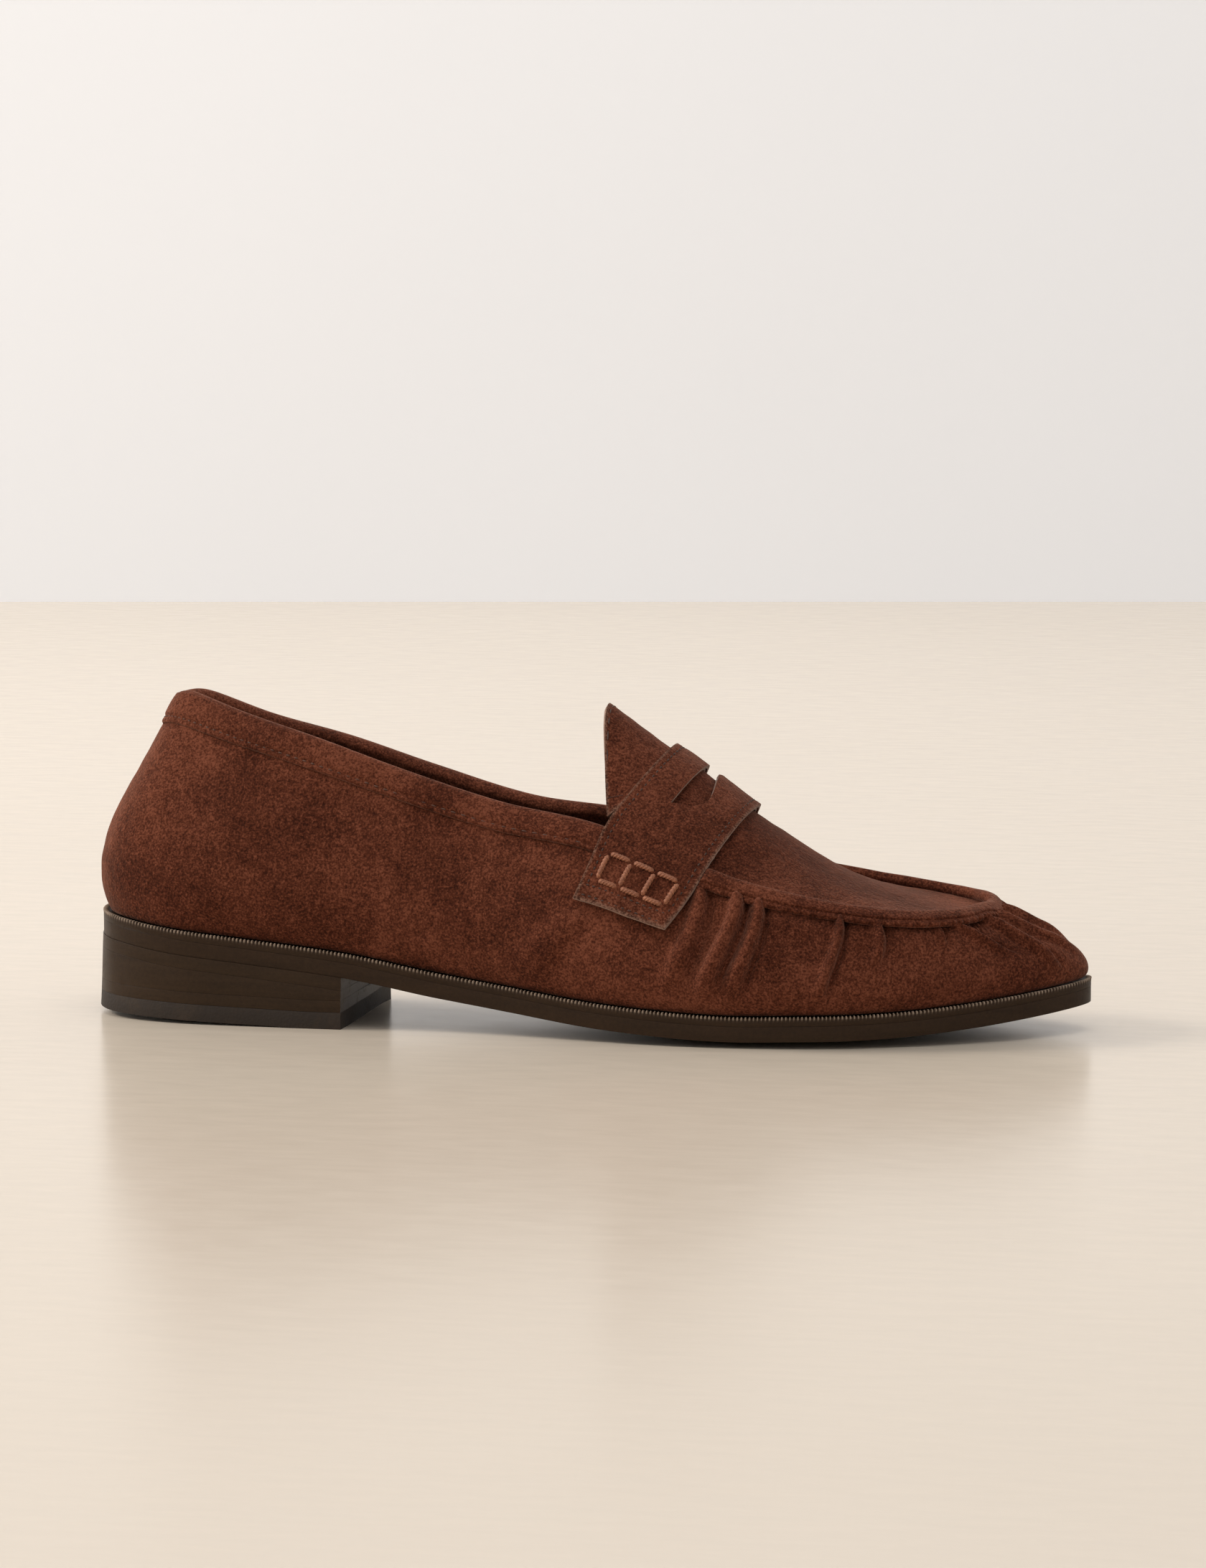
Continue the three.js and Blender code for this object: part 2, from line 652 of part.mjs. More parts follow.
// A rolled strip that covers the seam between the apron and the side.
function apronPiping() {
  const end = strap_front + 0.02;
  const sides = 8;
  const ring = (i) => {
    const s = Math.min(i, loop_count - i);
    const middle = topLoop(i);
    const along = topLoop(i + 0.05).sub(topLoop(i - 0.05)).normalize();
    const side_normal = sideOffset(i, 1, 1).sub(sideOffset(i, 1, 0));
    const edge = i < toe ? 0 : 1;
    const held = Math.min(s, toe - 0.4);
    const up = instepOffset(held, edge, 1).sub(instepOffset(held, edge, 0));
    const proud = side_normal.add(up).normalize();
    const across = along.clone().cross(proud).normalize();
    return { middle, proud, across };
  };
  const layer = (side) => (u, v) => {
    const { middle, proud, across } = ring(mix(end, loop_count - end, u));
    const turn = side * Math.PI * v;
    const high = piping_thickness / 2;
    return middle
      .addScaledVector(proud, glue_line * 1.4 + high + high * Math.sin(turn))
      .addScaledVector(across, (piping_width / 2) * Math.cos(turn));
  };
  return sheet(56, sides / 2, layer(1), layer(-1));
}

// ---------- strap ----------

// Girth line at a distance in front of the strap's rear edge, measured along the crest of the instep.
function girthInFront(distance) {
  let [low, high] = [strap_rear, strap_rear + 2];
  for (let n = 0; n < 40; n++) {
    const middle = (low + high) / 2;
    if (instepPoint(middle, 0.5).distanceTo(instepPoint(strap_rear, 0.5)) < distance) low = middle;
    else high = middle;
  }
  return low;
}
const strap_front = girthInFront(strap_width[1]);
const strap_rows = 40;
const strap_lift = bedding + glue_line;

// Points along the strap at w of its width (0 rear, 1 front), from its lateral end to its medial end.
function strapLine(w) {
  const span = strap_front - strap_rear;
  const foot_span = (span * strap_width[0]) / strap_width[1] / strap_spread;
  const girth = (t) => strap_rear + w * mix(foot_span, span, t);
  const drop = mix(...strap_drop, w);
  const steps = 24;
  const leg = (side) => Array.from({ length: steps }, (_, k) => {
    const i = side(girth((0.35 * k) / steps));
    return sidePoint(i, below(i, drop * (1 - k / steps)));
  });
  const over = Array.from({ length: 2 * steps + 1 }, (_, k) => {
    const a = k / (2 * steps);
    return instepPoint(girth(1 - 0.65 * Math.abs(2 * a - 1)), a);
  });
  const line = [...leg(lateral), ...over, ...leg(medial).reverse()];
  return evenly(smooth(evenly(line, strap_rows), 5), strap_rows);
}

function evenly(points, count) {
  const reach = [0];
  for (let k = 1; k < points.length; k++) reach.push(reach[k - 1] + points[k].distanceTo(points[k - 1]));
  return Array.from({ length: count + 1 }, (_, n) => {
    const wanted = (reach.at(-1) * n) / count;
    const k = Math.min(Math.max(reach.findIndex((r) => r >= wanted - 1e-9), 1), points.length - 1);
    return points[k - 1].clone().lerp(points[k], (wanted - reach[k - 1]) / (reach[k] - reach[k - 1]));
  });
}

function smooth(points, passes) {
  let line = points;
  for (let n = 0; n < passes; n++)
    line = line.map((p, k) => (k === 0 || k === line.length - 1 ? p
      : p.clone().multiplyScalar(2).add(line[k - 1]).add(line[k + 1]).multiplyScalar(0.25)));
  return line;
}

const strap_columns = 5;
const strap_spread = 1.18; // how much farther apart girth lines are at the strap's ends than over the crest
const strap_grid = Array.from({ length: strap_columns + 1 }, (_, k) => strapLine(k / strap_columns));

// A point of the strap: w from its rear (0) to its front edge (1), g from its lateral to its medial end.
function strapPoint(w, g) {
  const [c, r] = [Math.min(Math.max(w, 0), 1) * strap_columns, Math.min(Math.max(g, 0), 1) * strap_rows];
  const [i, j] = [Math.min(Math.floor(c), strap_columns - 1), Math.min(Math.floor(r), strap_rows - 1)];
  const near = strap_grid[i][j].clone().lerp(strap_grid[i][j + 1], r - j);
  return near.lerp(strap_grid[i + 1][j].clone().lerp(strap_grid[i + 1][j + 1], r - j), c - i);
}

function strapOffset(w, g, offset) {
  const step = 0.06;
  const across = strapPoint(w + step, g).sub(strapPoint(w - step, g));
  const along = strapPoint(w, g + step / 2).sub(strapPoint(w, g - step / 2));
  return strapPoint(w, g).addScaledVector(across.cross(along).normalize(), offset);
}

const strapLength = strap_grid[2].slice(1).reduce((sum, p, k) => sum + p.distanceTo(strap_grid[2][k]), 0);

// The slot in the strap: a straight rear edge, and a front edge of two lobes with a point between them.
const slot_shape = [[0, 0.55], [0.25, 0.71], [0.52, 0.93], [0.7, 1], [0.82, 0.87], [0.92, 0.6], [1, 0.05]];
const slotShare = throughPoints(slot_shape);
const slotFront = (across) => (slot_rear + slot_width * slotShare(Math.abs(across))) / strap_width[1];

function slotCutter() {
  const layer = (offset) => (u, v) => {
    const across = 2 * u - 1;
    const g = 0.5 + (across * slot_half_length) / strapLength;
    return strapOffset(mix(slot_rear / strap_width[1], slotFront(across), v), g, offset);
  };
  return sheet(20, 1, layer(6), layer(-1));
}

function strapSheet(low, high) {
  const layer = (offset) => (u, v) => strapOffset(u, v, offset);
  return sheet(strap_columns, strap_rows, layer(high), layer(low)).subtract(slotCutter());
}

const strap_face = strap_lift + strap_backing_thickness + glue_line;
const strapBacking = () => strapSheet(strap_lift, strap_lift + strap_backing_thickness);
const saddleStrap = () => strapSheet(strap_face, strap_face + strap_thickness);

// Ladder stitch at one end of the strap: two rails and four rungs of one waxed thread.
function ladderStitch(end) {
  const seat = strap_face + strap_thickness + glue_line;
  const half = thread_thickness / 2;
  const bar = (w0, w1, g0, g1, columns, rows) => {
    const layer = (offset) => (u, v) => strapOffset(mix(w0, w1, u) / strap_width[0],
      end === "lateral" ? mix(g0, g1, v) / strapLength : 1 - mix(g0, g1, v) / strapLength, offset);
    return sheet(columns, rows, layer(seat + thread_thickness), layer(seat));
  };
  const start = (strap_width[0] - ladder_length) / 2;
  const [foot, head] = [ladder_margin, ladder_margin + ladder_height];
  const rails = [foot, head].map((g) =>
    bar(start - half, start + ladder_length + half, g - half, g + half, 12, 1),
  );
  const rungs = Array.from({ length: ladder_boxes + 1 }, (_, k) => {
    const w = start + (ladder_length * k) / ladder_boxes;
    return bar(w - half, w + half, foot, head, 1, 4);
  });
  return [...rails, ...rungs].reduce((sum, b) => sum.add(b));
}

// ---------- assembly ----------

const suede = { color: 0x5a2f22, roughness: 0.95, metalness: 0 };
const lining_leather = { color: 0x4a2c20, roughness: 0.8, metalness: 0 };
const sole_leather = { color: 0x3a3026, roughness: 0.5, metalness: 0 };
const rubber = { color: 0x2a2521, roughness: 0.75, metalness: 0 };
const board = { color: 0xa38a66, roughness: 0.9, metalness: 0 };
const cork = { color: 0x9a744a, roughness: 0.95, metalness: 0 };
const foam = { color: 0xd8cfbe, roughness: 1, metalness: 0 };
const steel = { color: 0x9a9a98, roughness: 0.35, metalness: 1 };
const brass = { color: 0xb08d4a, roughness: 0.35, metalness: 1 };
const thread = { color: 0x9a5a3a, roughness: 0.8, metalness: 0 };

const shoe = new THREE.Group();

function addPiece(name, solid, finish) {
  const mesh = solid.getMesh();
  const geometry = new THREE.BufferGeometry();
  geometry.setAttribute("position", new THREE.BufferAttribute(mesh.vertProperties, 3));
  geometry.setIndex(new THREE.BufferAttribute(mesh.triVerts, 1));
  const piece = new THREE.Mesh(geometry, new THREE.MeshStandardMaterial(finish));
  piece.name = name;
  shoe.add(piece);
}

addPiece("top_piece", topPiece(), rubber);
addPiece("heel_lift", heelLift(), sole_leather);
addPiece("heel_wedge", heelWedge(), sole_leather);
addPiece("seat_lift", seatLift(), sole_leather);
addPiece("outsole", outsole(), sole_leather);
addPiece("welt", welt(), sole_leather);
addPiece("bottom_filler", bottomFiller(), cork);
addPiece("tuck_board", tuckBoard(), board);
addPiece("shank", shank(), steel);
rivets.forEach((r, k) => addPiece(`shank_rivet_${k + 1}`, pin(...r), steel));
nails.forEach((n, k) => addPiece(`heel_nail_${k + 1}`, pin(...n), brass));
addPiece("heel_screw", pin(...screw), steel);
addPiece("insole", insole(), board);
addPiece("heel_pad", heelPad(), foam);
addPiece("sock_lining", sockLining(), lining_leather);
addPiece("upper_wall", upperWall(), suede);
addPiece("heel_counter", heelCounter(), board);
addPiece("toe_puff", toePuff(), board);
addPiece("quarter_lining", quarterLining(), lining_leather);
addPiece("vamp_lining", vampLining(), lining_leather);
addPiece("topline_binding", toplineBinding(), suede);
addPiece("apron", apron(), suede);
addPiece("apron_lining", apronLining(), lining_leather);
addPiece("apron_piping", apronPiping(), suede);
addPiece("tongue", tongue(), suede);
addPiece("tongue_lining", tongueLining(), lining_leather);
addPiece("strap_backing", strapBacking(), lining_leather);
addPiece("saddle_strap", saddleStrap(), suede);
addPiece("ladder_stitch_lateral", ladderStitch("lateral"), thread);
addPiece("ladder_stitch_medial", ladderStitch("medial"), thread);

// The origin goes to the middle of the footprint, on the floor.
const box = new THREE.Box3().setFromObject(shoe);
const middle = box.getCenter(new THREE.Vector3());
shoe.position.set(-middle.x, -middle.y, -box.min.z);

export default shoe;
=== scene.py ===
"""Looks of a brown suede penny loafer for the right foot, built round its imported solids.

Shapes are worked out in millimetres in the last's own frame: x runs from the back of the heel to the toe, y
to the medial side and z up from the floor. They move to the part's frame, in metres, as they become meshes.
"""
import bmesh
import bpy
import numpy as np
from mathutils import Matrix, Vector


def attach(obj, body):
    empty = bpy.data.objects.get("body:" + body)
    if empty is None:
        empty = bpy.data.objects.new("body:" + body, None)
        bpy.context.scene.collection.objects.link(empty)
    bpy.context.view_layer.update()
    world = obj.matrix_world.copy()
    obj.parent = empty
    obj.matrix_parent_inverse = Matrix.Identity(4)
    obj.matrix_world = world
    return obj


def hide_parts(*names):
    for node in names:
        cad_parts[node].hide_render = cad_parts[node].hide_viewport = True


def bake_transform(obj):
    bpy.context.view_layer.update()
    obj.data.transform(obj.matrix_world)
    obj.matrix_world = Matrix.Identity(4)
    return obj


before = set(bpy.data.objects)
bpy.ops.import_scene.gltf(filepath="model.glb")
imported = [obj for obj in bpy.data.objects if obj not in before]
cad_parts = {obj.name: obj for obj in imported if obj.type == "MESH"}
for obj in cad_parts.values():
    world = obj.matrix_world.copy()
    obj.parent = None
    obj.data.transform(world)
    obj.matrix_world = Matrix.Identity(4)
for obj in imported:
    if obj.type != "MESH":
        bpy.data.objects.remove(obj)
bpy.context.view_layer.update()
render_levels = 1

last_to_part = np.array([-134.92069, 1.24174, 0.0074])
tau = 2 * np.pi


def to_part(points):
    """Points of the last's frame in the part's frame: shifted, and turned from millimetres to metres."""
    return (np.asarray(points, float) + last_to_part) / 1000


# ---------- camera ----------

sensor_long_side, focal_share = 36, 3.2975
camera = bpy.data.objects.new("camera", bpy.data.cameras.new("camera"))
bpy.context.scene.collection.objects.link(camera)
camera_place = np.array([400.38, -1350.54, 207.1])
camera_look = np.array([-0.1889, 0.9765, -0.1036])
camera.data.sensor_width = sensor_long_side
camera.data.lens = sensor_long_side * focal_share
camera.data.clip_start = 0.05
camera.data.clip_end = 50
camera.location = to_part(camera_place)
camera.rotation_mode = "QUATERNION"
camera.rotation_quaternion = Vector(camera_look).to_track_quat("-Z", "Y")
bpy.context.scene.camera = camera


# ---------- curves of the last ----------

def through(points):
    """Value at x of a smooth curve through (x, value) points: cubic Hermite whose slopes are those of the
    chords between neighbours, flat beyond the ends."""
    px, py = np.array(points, float).T
    before, after = np.maximum(np.arange(len(px)) - 1, 0), np.minimum(np.arange(len(px)) + 1, len(px) - 1)
    slope = (py[after] - py[before]) / (px[after] - px[before])

    def value(x):
        x = np.clip(x, px[0], px[-1])
        k = np.clip(np.searchsorted(px, x, side="right") - 1, 0, len(px) - 2)
        h = px[k + 1] - px[k]
        u = (x - px[k]) / h
        return (py[k] * (1 + 2 * u) * (1 - u) ** 2 + slope[k] * h * u * (1 - u) ** 2
                + py[k + 1] * u * u * (3 - 2 * u) + slope[k + 1] * h * u * u * (u - 1))
    return value


def closed_curve(points):
    """Point at place i of a closed Catmull-Rom curve: cubic Hermite whose slope at a point is half the
    chord between its neighbours."""
    points = np.asarray(points, float)
    count = len(points)

    def at(i):
        i = np.asarray(i, float) % count
        k = np.floor(i).astype(int) % count
        u = (i - np.floor(i))[..., None]
        a, b, c, d = (points[(k + n) % count] for n in (-1, 0, 1, 2))
        start, end = (c - a) / 2, (d - b) / 2
        return (b + start * u + (3 * (c - b) - 2 * start - end) * u ** 2
                + (2 * (b - c) + start + end) * u ** 3)
    return at


def unit(vectors):
    """The vectors divided by their lengths."""
    return vectors / np.maximum(np.linalg.norm(vectors, axis=-1, keepdims=True), 1e-12)


def smooth_step(low, high, x):
    """0 below low, 1 above high and 3t^2 - 2t^3 between them."""
    t = np.clip((x - low) / (high - low), 0, 1)
    return t * t * (3 - 2 * t)


def mix(a, b, u):
    """A straight line from a at u = 0 to b at u = 1."""
    return a + (b - a) * u


def bell(distance, width):
    """Gauss curve of height 1."""
    return np.exp(-(distance / width) ** 2)


shoe_length, heel_height, toe_spring, sole_cup, heel_back_lift = 270, 21.75, 7, 1.5, 1.8
outsole_thickness, welt_thickness, glue_line, welt_reach = 4.1, 2.1, 0.25, 2
toe, around, strap_rear = 12, 24, 6

# Girth lines from the back of the heel to the tip of the toe: feather edge x, lateral y, medial y; top edge
# x, lateral y, medial y, lateral rise, medial rise; belly low, high; crown x, y, z.
girths = np.array([
    [3.3, 0, 0, 22.5, 0, 0, 57.8, 57.8, 9.5, 9, 0, 0, 0],
    [9.5, -16, 16, 28, -8, 8, 59, 58.4, 8.5, 8, 0, 0, 0],
    [28, -24.5, 24.5, 45, -15.2, 15.2, 56.3, 53.8, 8, 6.5, 0, 0, 0],
    [55, -26.5, 25.5, 66, -20, 20, 53, 50.2, 8, 5.5, 0, 0, 0],
    [82, -27.5, 23.5, 90, -21.6, 21.6, 48.5, 45.7, 9, 6, 26, 0, 29],
    [108, -30, 22, 116, -23, 23, 45.2, 42.4, 9.5, 7, 20, 0, 24],
    [132, -34.5, 27, 144.5, -27.5, 27, 43, 41.2, 9.5, 8, 13.5, 0, 19.7],
    [158, -39.5, 34.5, 176, -32.5, 29, 32.8, 33.2, 8.5, 7, 6, 0, 13.8],
    [182, -40.5, 38.5, 200, -30.5, 28, 27.5, 29.3, 8.5, 8, 3, 0, 6],
    [209, -36.5, 37, 221, -25.5, 24, 23.9, 26.2, 6.5, 7, 2, 0, 1.2],
    [236, -24.5, 30, 235.5, -16, 17.5, 21.6, 23.3, 5, 7, 1, 0.5, 0],
    [257, -9.5, 20.5, 241.3, -5.5, 10.5, 19.6, 20.6, 4.5, 8.5, 0.5, 0.5, 0],
    [267.5, 6.5, 6.5, 243.2, 3, 3, 17.9, 17.9, 4.5, 10, 0, 0, 0],
])
heel_share = through([[0, 1], [0.0356, 0.954], [0.074, 0.89], [0.107, 0.844], [0.174, 0.766],
                      [0.274, 0.632], [0.37, 0.43], [0.448, 0.276], [0.526, 0.126], [0.607, 0.034],
                      [0.67, 0], [0.72, 0]])
toe_share = through([[0.62, 0], [0.67, 0], [0.73, 0.036], [0.785, 0.079], [0.841, 0.193], [0.896, 0.414],
                     [0.952, 0.714], [1, 1]])
edge_share = through([[0.3, 0], [0.37, 0], [0.6, 1], [0.84, 1], [1, 0.6]])


def edge_lift(x):
    """How far the edge of the bottom curls up at x."""
    return sole_cup * edge_share(x / shoe_length)


def welt_top(x):
    """Height of the welt's top face: the sole's thickness, the heel's rise, the toe's spring and the edge's
    curl."""
    return (outsole_thickness + glue_line + welt_thickness + heel_height * heel_share(x / shoe_length)
            + toe_spring * toe_share(x / shoe_length) + edge_lift(x))


def round_loop(*columns):
    """Points round the loop, down the lateral side and back up the medial, from (lateral, medial)
    values."""
    return np.stack([np.concatenate([lateral, medial[-2:0:-1]]) for lateral, medial in columns], axis=-1)


feather_plan = closed_curve(round_loop((girths[:, 0],) * 2, (girths[:, 1], girths[:, 2])))
foot_height = welt_top(girths[:, 0])
top_edge = closed_curve(round_loop((girths[:, 3],) * 2, (girths[:, 4], girths[:, 5]),
                                   (girths[:, 6] + foot_height, girths[:, 7] + foot_height)))
belly = closed_curve(round_loop((girths[:, 8],) * 2, (girths[:, 9],) * 2))
crown = closed_curve(round_loop(*[(girths[:, k],) * 2 for k in (10, 11, 12)]))


def outward(i):
    """Outward direction in plan at place i of the feather edge: its tangent turned a quarter."""
    t = unit(feather_plan(i + 0.02) - feather_plan(i - 0.02))
    return np.stack([t[..., 1], -t[..., 0], np.zeros(t.shape[:-1])], axis=-1)


def edge_at(i, reach):
    """Point of the sole's outline moved out by reach, on the welt's top."""
    plan = feather_plan(i)
    p = np.concatenate([plan, np.zeros(plan.shape[:-1] + (1,))], axis=-1)
    p = p + outward(i) * np.asarray(reach)[..., None]
    p[..., 2] = welt_top(p[..., 0])
    return p


outline_s = np.linspace(0, toe, 49)
lateral_outline = feather_plan(outline_s)
medial_outline = feather_plan(around - outline_s)


def sag(x, y):
    """How far the bottom hangs below its edges: the curl of the edges times 1 - across^2."""
    low = np.interp(x, lateral_outline[:, 0], lateral_outline[:, 1])
    high = np.interp(x, medial_outline[:, 0], medial_outline[:, 1])
    width = np.maximum(high - low, 1e-3)
    across = (2 * y - low - high) / width
    return np.where(width < 1, 0, edge_lift(x) * np.maximum(0, 1 - across ** 2) * np.minimum(1, width / 40))


def side_point(i, v):
    """Side of the last: a cubic Bezier from the feather edge (v = 0) to the top edge (v = 1), with its two
    middle points pushed outwards by the belly, 0.3 of the height in from each end."""
    i, v = np.broadcast_arrays(np.asarray(i, float), np.asarray(v, float))
    foot = edge_at(i, np.zeros(i.shape))
    foot[..., 2] += glue_line
    head = top_edge(i)
    push = belly(i)
    climb = 0.3 * (head[..., 2] - foot[..., 2])
    up = np.zeros(foot.shape)
    up[..., 2] = climb
    low = foot + outward(i) * push[..., :1] + up
    high = head + outward(i) * push[..., 1:] - up
    t = v[..., None]
    return foot * (1 - t) ** 3 + 3 * low * t * (1 - t) ** 2 + 3 * high * t * t * (1 - t) + head * t ** 3


def side_frame(i, v):
    """Up and outward unit vectors of the side at (i, v)."""
    held = np.minimum(v, 1)
    along = side_point(i + 0.05, held) - side_point(i - 0.05, held)
    up = unit(side_point(i, np.minimum(held + 0.03, 1)) - side_point(i, np.maximum(held - 0.03, 0)))
    return up, unit(np.cross(along, up))


def side_height(i):
    """Length of the side's curve at place i, from eight chords."""
    steps = np.linspace(0, 1, 9)
    line = side_point(np.asarray(i, float)[..., None], steps)
    return np.linalg.norm(np.diff(line, axis=-2), axis=-1).sum(-1)


def side_offset(i, v, offset):
    """Point of the side moved out by offset; v above 1 goes on past the top edge in a straight line."""
    i, v = np.broadcast_arrays(np.asarray(i, float), np.asarray(v, float))
    up, out = side_frame(i, v)
    past = np.maximum(v - 1, 0) * side_height(i)
    return side_point(i, np.minimum(v, 1)) + up * past[..., None] + out * np.asarray(offset)[..., None]


def below(i, distance):
    """v at a distance below the top edge."""
    return 1 - distance / side_height(i)


def instep_point(s, a):
    """Instep between the top edges at girth line s: a straight line from lateral (a = 0) to medial (a = 1)
    raised by the crown times 4a(1 - a)."""
    s, a = np.broadcast_arrays(np.asarray(s, float), np.asarray(a, float))
    t = a[..., None]
    return mix(top_edge(s), top_edge(around - s), t) + crown(s) * 4 * t * (1 - t)


def grid_normal(point, u, v):
    """Unit normal of a surface of two parameters, from the cross product of central differences. v is held
    between 0 and 1."""
    step = 0.01
    du = point(u + step, v) - point(u - step, v)
    dv = point(u, np.minimum(v + step, 1)) - point(u, np.maximum(v - step, 0))
    return unit(np.cross(du, dv))


def waves(points, length, seed):
    """Smooth irregular field of about -1 to 1: the sum of seven sine waves of random direction and phase over
    the square root of seven. Their lengths are 0.7 to 1.35 times the given one."""
    count = 7
    draw = np.random.default_rng(seed)
    directions = unit(draw.normal(size=(count, 3)))
    lengths = length * draw.uniform(0.7, 1.35, count)
    phases = draw.uniform(0, tau, count)
    return np.sin(points @ (directions / lengths[:, None]).T * tau + phases).sum(-1) / np.sqrt(count)


# ---------- meshes ----------

def mesh_piece(name, vertices, faces, finishes, body="shoe", wear=None):
    """An object with this mesh at the origin, smooth, with its doubles merged and its finishes. wear is
    a number for each vertex, which the finishes read: rubbed edges on suede and painted glint on the welt."""
    mesh = bpy.data.meshes.new(name)
    mesh.from_pydata(to_part(vertices), [], faces)
    if wear is not None:
        values = np.clip(np.asarray(wear, np.float32).ravel(), 0, 1)
        mesh.attributes.new("wear", "FLOAT", "POINT").data.foreach_set("value", values)
    work = bmesh.new()
    work.from_mesh(mesh)
    bmesh.ops.remove_doubles(work, verts=work.verts, dist=2e-6)
    work.to_mesh(mesh)
    work.free()
    mesh.polygons.foreach_set("use_smooth", np.ones(len(mesh.polygons), bool))
    for finish in finishes:
        mesh.materials.append(finish)
    piece = bpy.data.objects.new(name, mesh)
    bpy.context.scene.collection.objects.link(piece)
    if body:
        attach(piece, body)
    return piece


def quads_over(shape, close_along=False, close_across=False, start=0):
    """Corner numbers of the quads over a grid of points numbered row by row."""
    index = start + np.arange(shape[0] * shape[1]).reshape(shape[0], shape[1])
    if close_along:
        index = np.vstack([index, index[:1]])
    if close_across:
        index = np.hstack([index, index[:, :1]])
    corners = [index[:-1, :-1], index[1:, :-1], index[1:, 1:], index[:-1, 1:]]
    return np.stack(corners, axis=-1).reshape(-1, 4)


def tube_piece(name, rings, finishes, closed=False, wear=None):
    """A closed solid from rings of points (ring, place on the ring, xyz): joined end to end, or capped at
    both ends."""
    faces = quads_over(rings.shape, closed, True).tolist()
    count, size = rings.shape[:2]
    if not closed:
        faces += [list(range(size)), list(range((count - 1) * size, count * size))[::-1]]
    piece = mesh_piece(name, rings.reshape(-1, 3), faces, finishes, wear=wear)
    turn_outwards(piece.data)
    return piece


def turn_outwards(mesh):
    """Every closed shell of the mesh gets its faces turned to point outwards, and its end caps are flat
    with sharp edges."""
    work = bmesh.new()
    work.from_mesh(mesh)
    bmesh.ops.recalc_face_normals(work, faces=work.faces)
    for cap in [face for face in work.faces if len(face.verts) > 4]:
        cap.smooth = False
        for edge in cap.edges:
            edge.smooth = False
    work.to_mesh(mesh)
    work.free()


def cut_edge(piece, thickness, round_off=0.22):
    """Thickness behind the face, with the raw edge in the piece's second finish and its corners rounded."""
    solid = piece.modifiers.new("thickness", "SOLIDIFY")
    solid.thickness = thickness / 1000
    solid.offset = -1
    solid.use_even_offset = False
    solid.material_offset_rim = 1
    edge = piece.modifiers.new("round_edge", "BEVEL")
    edge.width = round_off / 1000
    edge.segments = 1 + render_levels
    edge.limit_method = "ANGLE"
    edge.angle_limit = np.radians(55)
    edge.harden_normals = True


# ---------- materials ----------

class Wire:
    """One socket of a finish's nodes. +, - and * with numbers or other wires add Math nodes."""

    def __init__(self, finish, socket):
        self.finish, self.socket = finish, socket

    def joined(self, operation, first, second):
        """A Math node of an operation on two values or wires."""
        return self.finish.add("ShaderNodeMath", {"operation": operation}, {0: first, 1: second})

    def __add__(self, other):
        return self.joined("ADD", self, other)

    def __sub__(self, other):
        return self.joined("SUBTRACT", self, other)

    def __rsub__(self, other):
        return self.joined("SUBTRACT", other, self)

    def __mul__(self, other):
        return self.joined("MULTIPLY", self, other)

    __radd__, __rmul__ = __add__, __mul__


